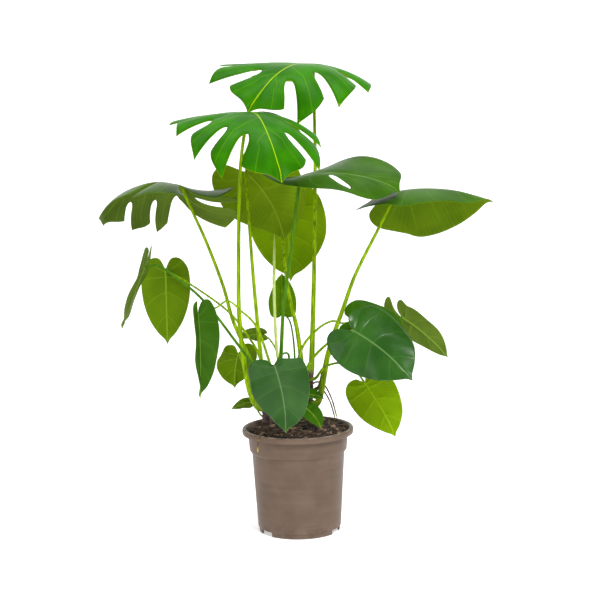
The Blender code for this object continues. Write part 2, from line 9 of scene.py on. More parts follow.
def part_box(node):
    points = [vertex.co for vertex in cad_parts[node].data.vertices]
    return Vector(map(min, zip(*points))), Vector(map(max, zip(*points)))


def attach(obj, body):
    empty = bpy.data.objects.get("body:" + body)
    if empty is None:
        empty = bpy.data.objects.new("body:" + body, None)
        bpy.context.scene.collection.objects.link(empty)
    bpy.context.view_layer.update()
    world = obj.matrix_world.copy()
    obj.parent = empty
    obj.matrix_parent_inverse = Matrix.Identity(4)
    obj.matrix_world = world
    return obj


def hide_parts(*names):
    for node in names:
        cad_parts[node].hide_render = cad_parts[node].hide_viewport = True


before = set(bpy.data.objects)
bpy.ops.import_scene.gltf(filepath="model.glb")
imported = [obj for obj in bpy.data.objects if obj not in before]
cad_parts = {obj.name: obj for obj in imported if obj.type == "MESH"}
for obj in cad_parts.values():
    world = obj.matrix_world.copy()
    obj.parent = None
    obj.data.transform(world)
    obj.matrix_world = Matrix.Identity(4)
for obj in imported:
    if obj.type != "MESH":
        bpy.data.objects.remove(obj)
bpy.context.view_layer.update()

bl_info = {
    "name": "Potted monstera",
    "version": (1, 0, 0),
    "blender": (4, 5, 0),
    "location": "3D View > Sidebar > Plant",
    "description": "Leaves, stalks, roots, soil and pot of a potted monstera, in the packed part's frame",
    "category": "Add Mesh",
}

POT_LOW, POT_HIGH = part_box("pot")
SOIL_LOW, SOIL_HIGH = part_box("soil")

# ------------------------------------------------------------------ leaf outlines
# Stations round one half of a blade, from the notch at the stalk to the tip:
# where the vein leaves the midrib, then the margin point along and out from it.
# Along is in blade lengths, out is in half widths.
HEART = (
    (0.000, -0.05, 0.06),
    (0.008, -0.17, 0.26),
    (0.020, -0.17, 0.62),
    (0.050, -0.03, 0.90),
    (0.120, 0.19, 1.00),
    (0.260, 0.44, 0.93),
    (0.450, 0.67, 0.70),
    (0.660, 0.84, 0.37),
    (0.840, 0.93, 0.10),
    (0.950, 1.00, 0.00),
)
BROAD = (
    (0.000, -0.05, 0.06),
    (0.008, -0.20, 0.26),
    (0.020, -0.20, 0.64),
    (0.045, -0.04, 0.92),
    (0.095, 0.22, 1.00),
    (0.190, 0.50, 0.96),
    (0.330, 0.75, 0.80),
    (0.500, 0.90, 0.50),
    (0.720, 0.95, 0.15),
    (0.950, 1.00, 0.00),
)
VEIN_BEND = 0.45
ROUND_END = 0.30
WEB = 0.16
OPEN = 9.0

# ------------------------------------------------------------------ the leaves
# at: where the stalk meets the blade.  heading: compass angle of the midrib from
# +X.  rise: slope of the midrib at the stalk.  arch: how far it bends down by the
# tip.  back: the same for the lobes behind the stalk.  roll, twist: turn about the
# midrib, and its growth to the tip.  skew: turn of the flat pattern within the blade.
# wide: factor on the width of the left and right half.  fold, curl: left and right
# half, at the midrib and round to the margin.  lobes: size of the two lobes behind
# the stalk.  left, right: slits as place round the margin, start, half width and end
# (OPEN runs out through the margin, less than 1 is a hole).
LEAVES = {
    "crown": dict(
        at=(0.042, 0.164, 0.871), heading=268, skew=-28, rise=10, arch=74, back=12, length=0.246,
        half_width=0.135, roll=-4, wide=(1.05, 1.00), fold=(0, 0), curl=(38, 5), lobes=1.3, outline=BROAD,
        left=((0.24, 0.55, 0.018, OPEN), (0.42, 0.50, 0.018, OPEN), (0.61, 0.42, 0.022, OPEN),
              (0.77, 0.36, 0.026, OPEN)),
        right=((0.38, 0.50, 0.022, OPEN), (0.56, 0.46, 0.028, OPEN), (0.73, 0.40, 0.032, OPEN))),
    "top_left": dict(
        at=(-0.080, -0.030, 0.792), heading=270, skew=14, rise=10, arch=72, back=-10, length=0.268,
        half_width=0.145, wide=(0.82, 1.00), fold=(0, 0), curl=(45, 12), lobes=1.3, outline=BROAD,
        left=((0.34, 0.50, 0.018, OPEN), (0.54, 0.48, 0.018, OPEN), (0.72, 0.46, 0.024, OPEN)),
        right=((0.24, 0.60, 0.014, OPEN), (0.40, 0.70, 0.014, OPEN), (0.52, 0.58, 0.018, OPEN),
               (0.63, 0.50, 0.018, OPEN), (0.75, 0.42, 0.026, OPEN))),
    "upper_right": dict(
        at=(0.012, -0.020, 0.672), heading=-12, rise=14, arch=45, back=-25, length=0.195, half_width=0.092,
        wide=(1.15, 0.76), roll=2, twist=28, fold=(0, 0), curl=(5, 25), ease=0.5, lobes=2.2, outline=BROAD,
        left=((0.34, 0.35, 0.025, OPEN),),
        right=((0.62, 0.22, 0.026, 0.80),)),
    "centre": dict(
        at=(-0.090, 0.098, 0.673), heading=5, rise=-42, arch=40, back=-15, roll=-80, length=0.155,
        half_width=0.082, fold=(10, 5), curl=(20, 15), lobes=1.2),
    "centre_back": dict(
        at=(-0.015, 0.156, 0.606), heading=80, rise=-70, arch=15, back=-10, length=0.162, half_width=0.078,
        fold=(5, 5), curl=(15, 15), lobes=1.2),
    "left": dict(
        at=(-0.206, 0.008, 0.656), heading=177, rise=20, arch=90, back=-15, length=0.186, half_width=0.105,
        wide=(1.00, 0.90), roll=5, twist=5, fold=(5, -52), curl=(30, 30), lobes=2.4, outline=BROAD,
        left=((0.30, 0.30, 0.026, OPEN), (0.55, 0.30, 0.024, OPEN)),
        right=((0.16, 0.45, 0.020, OPEN), (0.34, 0.28, 0.060, OPEN), (0.58, 0.40, 0.026, OPEN),
               (0.78, 0.40, 0.022, OPEN))),
    "right": dict(
        at=(0.192, 0.000, 0.641), heading=-17, rise=10, arch=32, back=10, length=0.185, half_width=0.098,
        wide=(1.00, 0.80), roll=0, fold=(-64, -8), curl=(15, 20), lobes=2.3),
    "left_heart": dict(
        at=(-0.243, 0.030, 0.497), heading=95, rise=-75, arch=25, back=-10, length=0.145, half_width=0.046,
        fold=(5, 5), curl=(10, 10), lobes=0.9),
    "left_edge": dict(
        at=(-0.276, -0.040, 0.513), heading=172, rise=-66, arch=5, back=-10, length=0.128, half_width=0.046,
        fold=(5, 5), curl=(10, 10), lobes=1.7),
    "left_folded": dict(
        at=(-0.178, -0.090, 0.432), heading=-40, rise=-85, arch=10, back=-10, length=0.158, half_width=0.038,
        fold=(35, 35), curl=(10, 10), lobes=0.9),
    "low_left": dict(
        at=(-0.112, 0.080, 0.327), heading=110, rise=-50, arch=40, back=-40, length=0.080, half_width=0.040,
        fold=(5, 5), curl=(20, 20), lobes=1.3),
    "base_left": dict(
        at=(-0.085, 0.042, 0.240), heading=190, rise=0, arch=40, back=0, length=0.045, half_width=0.022,
        roll=40, fold=(5, 5), curl=(20, 20)),
    "front": dict(
        at=(-0.040, -0.110, 0.337), heading=-20, rise=-70, arch=22, back=-25, roll=100, length=0.127,
        half_width=0.064, fold=(8, 8), curl=(15, 15), lobes=0.55),
    "front_right": dict(
        at=(0.104, -0.080, 0.394), heading=-28, rise=-23, arch=25, back=-20, roll=68, length=0.148,
        half_width=0.068, fold=(-5, 5), curl=(45, 20), lobes=1.0),
    "behind_right": dict(
        at=(0.107, 0.000, 0.398), heading=-10, rise=-5, arch=40, back=-10, roll=55, length=0.115,
        half_width=0.050, fold=(5, 5), curl=(30, 30), lobes=1.0),
    "right_curled": dict(
        at=(0.202, 0.040, 0.396), heading=8, rise=-34, arch=18, back=-40, roll=-66, length=0.122,
        half_width=0.028, fold=(10, 10), curl=(20, 20), lobes=1.9),
    "low_right": dict(
        at=(0.128, -0.010, 0.281), heading=5, rise=-56, arch=12, back=-10, roll=-80, length=0.120,
        half_width=0.047, fold=(5, 5), curl=(15, 15), lobes=0.7),
    "young": dict(
        at=(-0.026, 0.100, 0.400), heading=100, rise=88, arch=-10, back=0, length=0.080, half_width=0.028,
        fold=(20, 20), curl=(10, 10), lobes=0.6),
    "small_back": dict(
        at=(-0.063, 0.080, 0.362), heading=170, rise=10, arch=40, back=0, length=0.045, half_width=0.026,
        roll=40, fold=(5, 5), curl=(15, 15), lobes=1.0),
    "sprout_upper": dict(
        at=(0.014, -0.020, 0.262), heading=-5, rise=10, arch=40, back=0, length=0.038, half_width=0.016,
        roll=25, fold=(20, 20), curl=(20, 20), lobes=1.0),
    "sprout_lower": dict(
        at=(0.018, -0.030, 0.238), heading=-40, rise=-25, arch=40, back=0, length=0.048, half_width=0.018,
        roll=25, fold=(25, 10), curl=(20, 20), lobes=1.0),
}

# ------------------------------------------------------------------ the stalks
# Points from the cane up to the blade of the same name, then the radius at the
# bottom and at the blade.
STALKS = {
    "crown": (((0.028, 0.058, 0.304), (0.033, 0.066, 0.400), (0.038, 0.080, 0.530), (0.043, 0.124, 0.713)),
              0.0065, 0.0028),
    "centre_back": (((0.006, 0.044, 0.266), (0.010, 0.042, 0.300), (0.002, 0.046, 0.376),
                     (-0.014, 0.070, 0.452), (-0.022, 0.120, 0.545)), 0.0070, 0.0024),
    "right": (((0.042, 0.044, 0.240), (0.062, 0.032, 0.338), (0.092, 0.030, 0.424), (0.115, 0.022, 0.486),
               (0.161, 0.000, 0.579)), 0.0065, 0.0026),
    "behind_right": (((-0.006, -0.028, 0.300), (0.012, -0.030, 0.356), (0.041, -0.026, 0.389),
                      (0.068, -0.008, 0.400), (0.088, 0.008, 0.393)), 0.0030, 0.0018),
    "front_right": (((0.004, -0.014, 0.285), (0.028, -0.030, 0.331), (0.053, -0.040, 0.359),
                     (0.075, -0.055, 0.377)), 0.0034, 0.0022),
    "right_curled": (((0.042, 0.064, 0.262), (0.056, 0.058, 0.312), (0.090, 0.056, 0.356),
                      (0.141, 0.052, 0.387)), 0.0034, 0.0020),
    "low_right": (((0.036, 0.030, 0.285), (0.053, 0.014, 0.309), (0.083, 0.004, 0.318),
                   (0.108, 0.000, 0.306)), 0.0030, 0.0018),
    "upper_right": (((-0.034, -0.022, 0.280), (-0.028, -0.024, 0.350), (-0.022, -0.026, 0.430),
                     (-0.006, -0.026, 0.537)), 0.0050, 0.0024),
    "young": (((-0.006, -0.002, 0.305), (-0.004, 0.050, 0.338), (-0.011, 0.118, 0.378)), 0.0026, 0.0014),
    "front": (((-0.016, -0.030, 0.290), (-0.014, -0.055, 0.345), (-0.028, -0.088, 0.352)), 0.0030, 0.0016),
    "left_folded": (((-0.040, -0.006, 0.290), (-0.070, -0.040, 0.392), (-0.102, -0.050, 0.431),
                     (-0.124, -0.055, 0.449), (-0.146, -0.064, 0.438)), 0.0028, 0.0016),
    "small_back": (((-0.026, 0.010, 0.290), (-0.036, 0.044, 0.332), (-0.050, 0.066, 0.354)), 0.0030, 0.0016),
    "top_left": (((-0.078, 0.022, 0.236), (-0.093, 0.004, 0.285), (-0.104, -0.012, 0.390),
                  (-0.104, -0.022, 0.500), (-0.096, -0.030, 0.688)), 0.0070, 0.0028),
    "centre": (((-0.062, 0.026, 0.2650), (-0.067, 0.022, 0.324), (-0.077, 0.038, 0.456),
                (-0.085, 0.056, 0.590)), 0.0060, 0.0024),
    "left": (((-0.070, 0.046, 0.268), (-0.090, 0.030, 0.328), (-0.118, 0.020, 0.400),
              (-0.135, 0.014, 0.468), (-0.163, 0.010, 0.549), (-0.188, 0.008, 0.609)), 0.0045, 0.0026),
    "left_heart": (((-0.050, 0.050, 0.240), (-0.070, 0.062, 0.320), (-0.090, 0.056, 0.361),
                    (-0.128, 0.044, 0.414), (-0.197, 0.026, 0.470)), 0.0030, 0.0018),
    "left_edge": (((-0.054, 0.018, 0.232), (-0.078, -0.016, 0.312), (-0.114, -0.034, 0.372),
                   (-0.172, -0.044, 0.452), (-0.236, -0.045, 0.507), (-0.256, -0.044, 0.516)),
                  0.0034, 0.0020),
    "low_left": (((-0.072, 0.058, 0.235), (-0.096, 0.068, 0.290)), 0.0030, 0.0016),
    "base_left": (((-0.071, 0.036, 0.215), (-0.078, 0.039, 0.227)), 0.0020, 0.0014),
    "sprout_upper": (((0.012, 0.030, 0.250), (0.010, 0.004, 0.262)), 0.0024, 0.0014),
    "sprout_lower": (((0.022, 0.034, 0.225), (0.016, 0.000, 0.240)), 0.0024, 0.0014),
}
# a rolled new leaf, the canes, and the aerial roots, from bottom to top
RODS = {
    "rolled_leaf": (((-0.030, 0.006, 0.310), (-0.037, 0.020, 0.345), (-0.040, 0.060, 0.450),
                     (-0.038, 0.126, 0.549)), 0.0030, 0.0020),
    "green_stub": (((-0.003, -0.004, 0.206), (-0.004, 0.000, 0.230), (-0.005, 0.004, 0.260)), 0.0016, 0.0030),
    "cane_left": (((-0.060, 0.035, 0.198), (-0.060, 0.035, 0.228), (-0.060, 0.034, 0.258)), 0.0080, 0.0070),
    "cane_centre": (((-0.020, -0.012, 0.202), (-0.021, -0.012, 0.250), (-0.022, -0.012, 0.296)),
                    0.0080, 0.0070),
    "cane_right": (((0.022, 0.056, 0.200), (0.023, 0.056, 0.250), (0.026, 0.056, 0.297)), 0.0080, 0.0070),
    "root_right_inner": (((0.036, 0.050, 0.262), (0.046, 0.050, 0.262), (0.062, 0.046, 0.236),
                         (0.072, 0.042, 0.2010)), 0.0018, 0.0013),
    "root_right_outer": (((0.037, 0.057, 0.272), (0.052, 0.058, 0.266), (0.066, 0.054, 0.238),
                         (0.076, 0.048, 0.2000)), 0.0018, 0.0012),
    "root_left": (((-0.060, -0.062, 0.1990), (-0.065, -0.080, 0.2050), (-0.070, -0.099, 0.2030),
                   (-0.073, -0.108, 0.1960), (-0.074, -0.109, 0.1760)), 0.0020, 0.0014),
    "root_centre": (((-0.018, -0.026, 0.222), (-0.017, -0.030, 0.212), (-0.013, -0.036, 0.2005)),
                    0.0018, 0.0012),
}

# How the blade's grid crowds towards the midrib and the veins, how far a finished leaf
# may lie from its CAD solid, and the length below which a blade counts as small.
COLUMN_CROWD = 1.45
ROW_CROWD = 1.5
PLACE_LIMIT = 0.012
SMALL_BLADE = 0.06

# Pot: outer radii of the body below and above, inner radius of the foot ring, under
# side of the floor, radius of its hub and the number of its sectors.
BODY_LOW_RADIUS = 0.0786
BODY_HIGH_RADIUS = 0.0873
FOOT_INNER_RADIUS = 0.0735
FLOOR_LEVEL = 0.012
HUB_RADIUS = 0.020
SECTORS = 6

# Soil: radius, height at its edge, in its middle and at its foot, height of its heap.
SOIL_RADIUS = 0.0922
SOIL_EDGE = 0.188
SOIL_CROWN = 0.202
SOIL_BASE = 0.0142
SOIL_HEAP = 0.005

# Stalks: the darker ones.  A stalk or root that starts above JOINT_LOW is carried on
# into the nearest cane, JOINT_DROP further down.
DEEP_STALKS = ("upper_right", "young", "front", "right_curled", "left_edge")
JOINT_DROP = 0.010
JOINT_LOW = 0.205

# Stage: light of the room, light given off by the paper, and the lamps as name,
# place, aim, size and power.
WORLD_STRENGTH = 0.40
PAPER_GLOW = 0.46
LIGHTS = (
    ("key", (1.2, -2.6, 2.8), (0.0, 0.0, 0.45), (1.0, 1.0), 104.0),
    ("fill", (-2.6, -1.8, 1.4), (0.0, 0.0, 0.45), (1.2, 2.0), 16.0),
    ("top", (0.2, 0.3, 2.9), (0.0, 0.0, 0.5), (1.2, 1.2), 34.0),
)

# How each leaf looks: the finish of its blade, veins on each half, wave of the
# margin in metres, and how far every lobe droops on both sides of its vein.
# The lit finish is painted light, a lighter copy of the green, and the grey
# finish is painted sheen, a greyed copy of it.
LOOKS = {
    "crown": ("fresh", 1, 0.0020, 0.006),
    "top_left": ("fresh", 1, 0.0020, 0.006),
    "upper_right": ("deep", 2, 0.0030, 0.003),
    "centre": ("olive", 6, 0.0030, 0.0),
    "centre_back": ("lit", 7, 0.0030, 0.0),
    "left": ("painted_sheen_grey", 1, 0.0020, 0.005),
    "right": ("deep", 6, 0.0035, 0.0),
    "left_heart": ("mid", 6, 0.0025, 0.0),
    "left_edge": ("painted_sheen_grey", 6, 0.0020, 0.0),
    "left_folded": ("deep", 6, 0.0020, 0.0),
    "low_left": ("mid", 5, 0.0020, 0.0),
    "base_left": ("mid", 4, 0.0010, 0.0),
    "front": ("glossy", 6, 0.0025, 0.0),
    "front_right": ("glossy", 6, 0.0030, 0.0),
    "behind_right": ("mid", 5, 0.0020, 0.0),
    "right_curled": ("painted_sheen_grey", 5, 0.0020, 0.0),
    "low_right": ("lit", 6, 0.0025, 0.0),
    "young": ("lit", 5, 0.0015, 0.0),
    "small_back": ("mid", 4, 0.0010, 0.0),
    "sprout_upper": ("mid", 4, 0.0010, 0.0),
    "sprout_lower": ("mid", 4, 0.0010, 0.0),
}
# Blade colours: upper side dark and light, under side dark and light, veins above
# and below, then the roughness above and below, and the gloss.
BLADE_FINISHES = {
    "fresh": ((0.012, 0.090, 0.0005), (0.036, 0.205, 0.0005), (0.085, 0.190, 0.002), (0.160, 0.310, 0.004),
              (0.340, 0.500, 0.004), (0.280, 0.440, 0.010), 0.30, 0.50, 0.04),
    "deep": ((0.022, 0.078, 0.003), (0.052, 0.145, 0.008), (0.055, 0.115, 0.002), (0.120, 0.205, 0.003),
             (0.130, 0.260, 0.030), (0.170, 0.300, 0.010), 0.30, 0.50, 0.05),
    "glossy": ((0.009, 0.056, 0.004), (0.038, 0.130, 0.014), (0.050, 0.120, 0.004), (0.100, 0.190, 0.008),
               (0.110, 0.220, 0.060), (0.190, 0.340, 0.030), 0.25, 0.50, 0.32),
    "mid": ((0.020, 0.078, 0.002), (0.048, 0.150, 0.005), (0.060, 0.125, 0.001), (0.120, 0.215, 0.003),
            (0.150, 0.280, 0.020), (0.190, 0.330, 0.016), 0.34, 0.50, 0.05),
    "olive": ((0.040, 0.105, 0.003), (0.075, 0.170, 0.005), (0.080, 0.150, 0.002), (0.165, 0.270, 0.004),
              (0.170, 0.300, 0.020), (0.220, 0.330, 0.016), 0.34, 0.46, 0.04),
    # painted light: a lighter copy of the leaf green, for leaves that catch more light
    "lit": ((0.060, 0.150, 0.001), (0.110, 0.230, 0.002), (0.105, 0.205, 0.001), (0.200, 0.340, 0.001),
            (0.200, 0.360, 0.010), (0.260, 0.420, 0.008), 0.36, 0.46, 0.04),
    # painted sheen: a greyed copy of the leaf green, in place of the reflection on glossy leaves
    "painted_sheen_grey": ((0.034, 0.085, 0.010), (0.068, 0.140, 0.018), (0.052, 0.098, 0.008), (0.112, 0.180, 0.016),
             (0.160, 0.270, 0.040), (0.160, 0.260, 0.030), 0.32, 0.46, 0.08),
}


# ------------------------------------------------------------------ meshes
def add_piece(name, points, faces, material, nodes=(), slot=None, corner_maps=None, point_values=None):
    """A finished object from arrays: points, faces, UV maps by corner, values by point."""
    mesh = bpy.data.meshes.new(name)
    mesh.from_pydata(points.tolist(), [], faces if isinstance(faces, list) else faces.tolist())
    mesh.polygons.foreach_set("use_smooth", np.ones(len(mesh.polygons), bool))
    for key, values in (corner_maps or {}).items():
        layer = mesh.uv_layers.new(name=key)
        layer.uv.foreach_set("vector", np.ascontiguousarray(values, np.float32).ravel())
    for key, values in (point_values or {}).items():
        layer = mesh.attributes.new(key, "FLOAT", "POINT")
        layer.data.foreach_set("value", np.ascontiguousarray(values, np.float32).ravel())
    mesh.update()
    if mesh.validate():
        raise RuntimeError(name + " has a bad face")
    mesh.materials.append(material)
    piece = bpy.data.objects.new(name, mesh)
    bpy.context.scene.collection.objects.link(piece)
    if slot:
        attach(piece, "root")
    if nodes:
        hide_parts(*nodes)
    return piece


def quads(rows, columns, start=0, closed=False):
    """Faces of a grid of points, row after row; closed joins the last column to the first."""
    wide = columns if closed else columns - 1
    a = np.arange(rows - 1)[:, None] * columns + np.arange(wide)[None, :]
    b = np.arange(rows - 1)[:, None] * columns + (np.arange(wide)[None, :] + 1) % columns
    return start + np.stack([a, b, b + columns, a + columns], -1).reshape(-1, 4)


def weld(points, step=1e-6):
    """Gives points that lie on each other one number.  Returns the new points and
    the new number of every old one."""
    key = np.round(points / step).astype(np.int64)
    _, first, number = np.unique(key, axis=0, return_index=True, return_inverse=True)
    return points[first], number.reshape(-1)


def point_normals(points, faces):
    """Mean of the area vectors of the faces round each point, made one long."""
    a, b, c, d = (points[faces[:, k]] for k in range(4))
    area = np.cross(c - a, d - b)
    total = np.zeros_like(points)
    for k in range(4):
        np.add.at(total, faces[:, k], area)
    return total / np.maximum(np.linalg.norm(total, axis=1, keepdims=True), 1e-12)


def open_edges(faces):
    """Directed edges that only one face uses."""
    edges = np.stack([faces, np.roll(faces, -1, axis=1)], -1).reshape(-1, 2)
    edges = edges[edges[:, 0] != edges[:, 1]]
    size = int(faces.max()) + 1
    there = edges[:, 0] * size + edges[:, 1]
    back = edges[:, 1] * size + edges[:, 0]
    return edges[~np.isin(there, back)]


def pole_fans(low, high, last, sides):
    """Triangles from pole low to the first ring and from pole high to the ring at last."""
    return ([[low, (k + 1) % sides, k] for k in range(sides)]
            + [[high, last + k, last + (k + 1) % sides] for k in range(sides)])


def repeated(faces, size, count):
    """The same faces for count copies of a shape of size points."""
    return [[corner + n * size for corner in face] for n in range(count) for face in faces]


def spline(knots, first, f):
    """Catmull-Rom curve through the knots, a share f past the knot after first."""
    a, b, c, d = (knots[first + k] for k in range(4))
    return 0.5 * (2 * b + (c - a) * f + (2 * a - 5 * b + 4 * c - d) * f ** 2
                  + (3 * b - a - 3 * c + d) * f ** 3)


def step_up(value, low, high):
    """0 below low, 1 above high, an even S curve between."""
    x = np.clip((value - low) / (high - low), 0.0, 1.0)
    return x * x * (3 - 2 * x)


def waves(points, scale, seed, count=5):
    """Even unevenness from -1 to 1: the mean of a few sine waves in seeded directions."""
    rng = np.random.default_rng(seed)
    total = np.zeros(points.shape[:-1])
    for _ in range(count):
        way = rng.normal(size=3)
        along = points @ (way / np.linalg.norm(way))
        total += np.sin(along * scale * rng.uniform(0.6, 1.5) + rng.uniform(0, 6.3))
    return total / count


# ------------------------------------------------------------------ leaf surface
def station(rows, s):
    """Catmull-Rom curve through the outline stations, s from 0 to 1."""
    knots = np.array([rows[0], *rows, rows[-1]])
    place = np.clip(s, 0.0, 1.0) * (len(rows) - 1)
    first = np.minimum(place.astype(int), len(rows) - 2)
    return spline(knots, first, (place - first)[..., None])


def gap_width(slit, t):
    """Half width of a slit at t: nothing before its start, then a round end."""
    start, width, stop = slit[1], slit[2], slit[3]
    opened = np.clip((t - start) / (ROUND_END * (min(stop, 1.0) - start)), 0.0, 1.0)
    closed = np.ones_like(t)
    if stop < 1.0:
        closed = np.clip((stop - t) / (ROUND_END * (stop - start)), 0.0, 1.0)
    return width * np.sqrt(1 - (1 - opened) ** 2) * np.sqrt(1 - (1 - closed) ** 2)


def corner_reach(slit, t):
    """How much of the lobe's corner shows at t: all at the margin, none in the web."""
    if slit[3] < 1.0:
        return np.zeros_like(t)
    return np.clip((t - slit[1]) / (1 - slit[1]), 0.0, 1.0) ** 3


def lobe_surface(slits, lobe, bounds, veins, columns, corner):
    """s, t, place across the lobe u and place across the vein's cell f, as grids.

    Rows crowd together at the veins and columns at the midrib.  Inside the web s
    eases into even steps, so that the two halves meet on the same midrib points.
    """
    total = bounds[-1]
    row = np.arange(bounds[lobe], bounds[lobe + 1] + 1)
    t = np.linspace(0, 1, columns + 1) ** COLUMN_CROWD
    row, t = np.meshgrid(row, t, indexing="ij")
    place = (row - bounds[lobe]) / (bounds[lobe + 1] - bounds[lobe]) * veins
    cell = np.minimum(place.astype(int), veins - 1)
    off = 2 * (place - cell) - 1
    f = 0.5 + 0.5 * np.sign(off) * np.abs(off) ** ROW_CROWD
    u = (cell + f) / veins
    low = np.zeros_like(t)
    high = np.ones_like(t)
    reach = np.zeros_like(t)
    if lobe > 0:
        low = slits[lobe - 1][0] + gap_width(slits[lobe - 1], t)
        reach = reach - corner * (1 - u) ** 3 * corner_reach(slits[lobe - 1], t)
    if lobe < len(slits):
        high = slits[lobe][0] - gap_width(slits[lobe], t)
        reach = reach + 0.6 * corner * u ** 3 * corner_reach(slits[lobe], t)
    web = np.clip(t / WEB, 0.0, 1.0)
    s = low + (high - low) * u
    return row / total * (1 - web) + s * web, t * (1 + reach), u, f, t


def flat_blade(leaf, s, t):
    """Place in the flat blade, in metres: along the midrib and out from it."""
    start, along, out = np.moveaxis(station(leaf.get("outline", HEART), s), -1, 0)
    x = start + (along - start) * t * (VEIN_BEND + (1 - VEIN_BEND) * t)
    x = x * np.where(x < 0, leaf.get("lobes", 1.0), 1.0)
    return x * leaf["length"], out * t * leaf["half_width"]


def bend_blade(leaf, side, x, y, s):
    """Carries the flat blade into space.

    The flat pattern is first turned by skew.  Its x then follows a circular arc in
    an upright plane, each side of that line is folded and curled as a circular arc,
    and the frame rolls about the line.
    """
    skew = radians(leaf.get("skew", 0))
    y = y * leaf.get("wide", (1.0, 1.0))[0 if side > 0 else 1]
    x, y = x * cos(skew) - side * y * sin(skew), x * sin(skew) + side * y * cos(skew)
    length = leaf["length"]
    rise = radians(leaf["rise"])
    arch = radians(leaf["arch"]) / length + 1e-6
    back = radians(leaf["back"]) / (0.2 * length) + 1e-6
    bend = np.where(x >= 0, -arch, back)
    slope = rise + bend * np.abs(x)
    way = np.where(x >= 0, 1.0, -1.0)
    along = way * (np.sin(slope) - sin(rise)) / bend
    up = way * (cos(rise) - np.cos(slope)) / bend
    heading = radians(leaf["heading"]) + radians(leaf.get("sweep", 0)) * x / length
    flat = np.stack([np.cos(heading), np.sin(heading), 0 * x], -1)
    left = np.stack([-np.sin(heading), np.cos(heading), 0 * x], -1)
    upright = np.zeros_like(flat)
    upright[..., 2] = 1
    spine = np.asarray(leaf["at"]) + flat * along[..., None] + upright * up[..., None]
    normal = upright * np.cos(slope)[..., None] - flat * np.sin(slope)[..., None]
    roll = radians(leaf.get("roll", 0)) + radians(leaf.get("twist", 0)) * np.clip(x / length, -0.3, 1)
    out_dir = left * np.cos(roll)[..., None] + normal * np.sin(roll)[..., None]
    up_dir = normal * np.cos(roll)[..., None] - left * np.sin(roll)[..., None]
    is_left = y > 0 if skew else np.full(y.shape, side > 0)
    fold = np.radians(np.where(is_left, leaf["fold"][0], leaf["fold"][1]))
    curl = np.radians(np.where(is_left, leaf["curl"][0], leaf["curl"][1])) / leaf["half_width"] + 1e-6
    curl = curl * (1 - leaf.get("ease", 0.0) * (1 - s) ** 2)
    turned = fold - curl * np.abs(y)
    out = np.sign(y) * (np.sin(fold) - np.sin(turned)) / curl
    lift = (np.cos(turned) - np.cos(fold)) / curl
    return spine + out_dir * out[..., None] + up_dir * lift[..., None]


def blade_frame(leaf):
    """Up direction of the blade where the stalk meets it."""
    rise = radians(leaf["rise"])
    heading = radians(leaf["heading"])
    roll = radians(leaf.get("roll", 0))
    flat = np.array([cos(heading), sin(heading), 0.0])
    left = np.array([-sin(heading), cos(heading), 0.0])
    normal = np.array([0.0, 0.0, cos(rise)]) - flat * sin(rise)
    return normal * cos(roll) - left * sin(roll)


def smooth_path(points, count):
    """Catmull-Rom curve through the points, as evenly numbered samples."""
    knots = np.array(points, float)
    knots = np.vstack([2 * knots[0] - knots[1], knots, 2 * knots[-1] - knots[-2]])
    place = np.linspace(0, len(points) - 1, count)
    first = np.minimum(place.astype(int), len(points) - 2)
    return spline(knots, first, (place - first)[:, None])


def lobe_bounds(slits, total):
    """Rows where the lobes of one half begin and end, in steps of four rows."""
    inner = [4 * round(total / 4 * slit[0]) for slit in slits]
    return [0, *inner, total]


def half_blade(leaf, side, veins, rows, columns, settings, wave, droop, seed):
    """One half of a blade as a list of lobe grids with their measures.

    Each grid point is carried from the flat blade into space and given an offset
    along the surface's normal, which build_blade applies: the sum of the swell
    between two veins (a cosine across the cell), the furrow over each vein (a bell
    of its distance), the droop of the lobe's two sides (a parabola across it) and
    the wave of the margin (a sine round it that grows with the square of t).
    """
    slits = leaf.get("left" if side > 0 else "right", ())
    split = "left" in leaf or "right" in leaf
    bounds = lobe_bounds(slits, rows)
    grids = []
    for lobe in range(len(slits) + 1):
        count = veins
        if split and lobe == len(slits):
            count = 2
        s, t, u, f, plain_t = lobe_surface(slits, lobe, bounds, count, columns, leaf.get("corner", 0.12))
        x, y = flat_blade(leaf, s, t)
        place = bend_blade(leaf, side, x, y, s)
        steps = np.hypot(np.diff(x, axis=0), np.diff(y, axis=0))
        along = np.vstack([np.zeros((1, x.shape[1])), np.cumsum(steps, axis=0)])
        span = (bounds[lobe + 1] - bounds[lobe]) // count
        vein_rows = bounds[lobe + 1] - bounds[lobe]
        nearest = np.clip(np.arange(vein_rows + 1) // span, 0, count - 1) * span + span // 2
        vein_away = np.abs(along - along[nearest])
        out_steps = np.hypot(np.diff(x, axis=1), np.diff(y, axis=1))
        outward = np.hstack([np.zeros((x.shape[0], 1)), np.cumsum(out_steps, axis=1)])
        edge_away = outward[:, -1:] - outward
        if lobe > 0:
            opened = gap_width(slits[lobe - 1], plain_t) > 0.002
            edge_away = np.where(opened, np.minimum(edge_away, along), edge_away)
        if lobe < len(slits):
            opened = gap_width(slits[lobe], plain_t) > 0.002
            edge_away = np.where(opened, np.minimum(edge_away, along[-1:] - along), edge_away)
        clear = step_up(plain_t, 0.03, 0.25)
        swell = settings.swell * 0.5 * (1 + np.cos(2 * pi * f)) * clear
        furrow = settings.furrow * np.exp(-(vein_away / 0.0014) ** 2) * clear * (1 - 0.6 * plain_t)
        bow = droop * (2 * u - 1) ** 2 * step_up(plain_t, 0.12, 0.75)
        wavy = wave * plain_t ** 2 * np.sin(2 * pi * 3.2 * s + seed)
        offset = swell - furrow - bow + wavy
        ridge = np.exp(-(vein_away / 0.0013) ** 2) * clear * (1 - 0.7 * plain_t)
        cell = lobe * 4 + (u * count)
        grids.append(dict(place=place, x=x, y=side * y, s=s, t=plain_t, cell=cell, offset=offset,
                          ridge=ridge, vein=vein_away, edge=edge_away))
    return grids


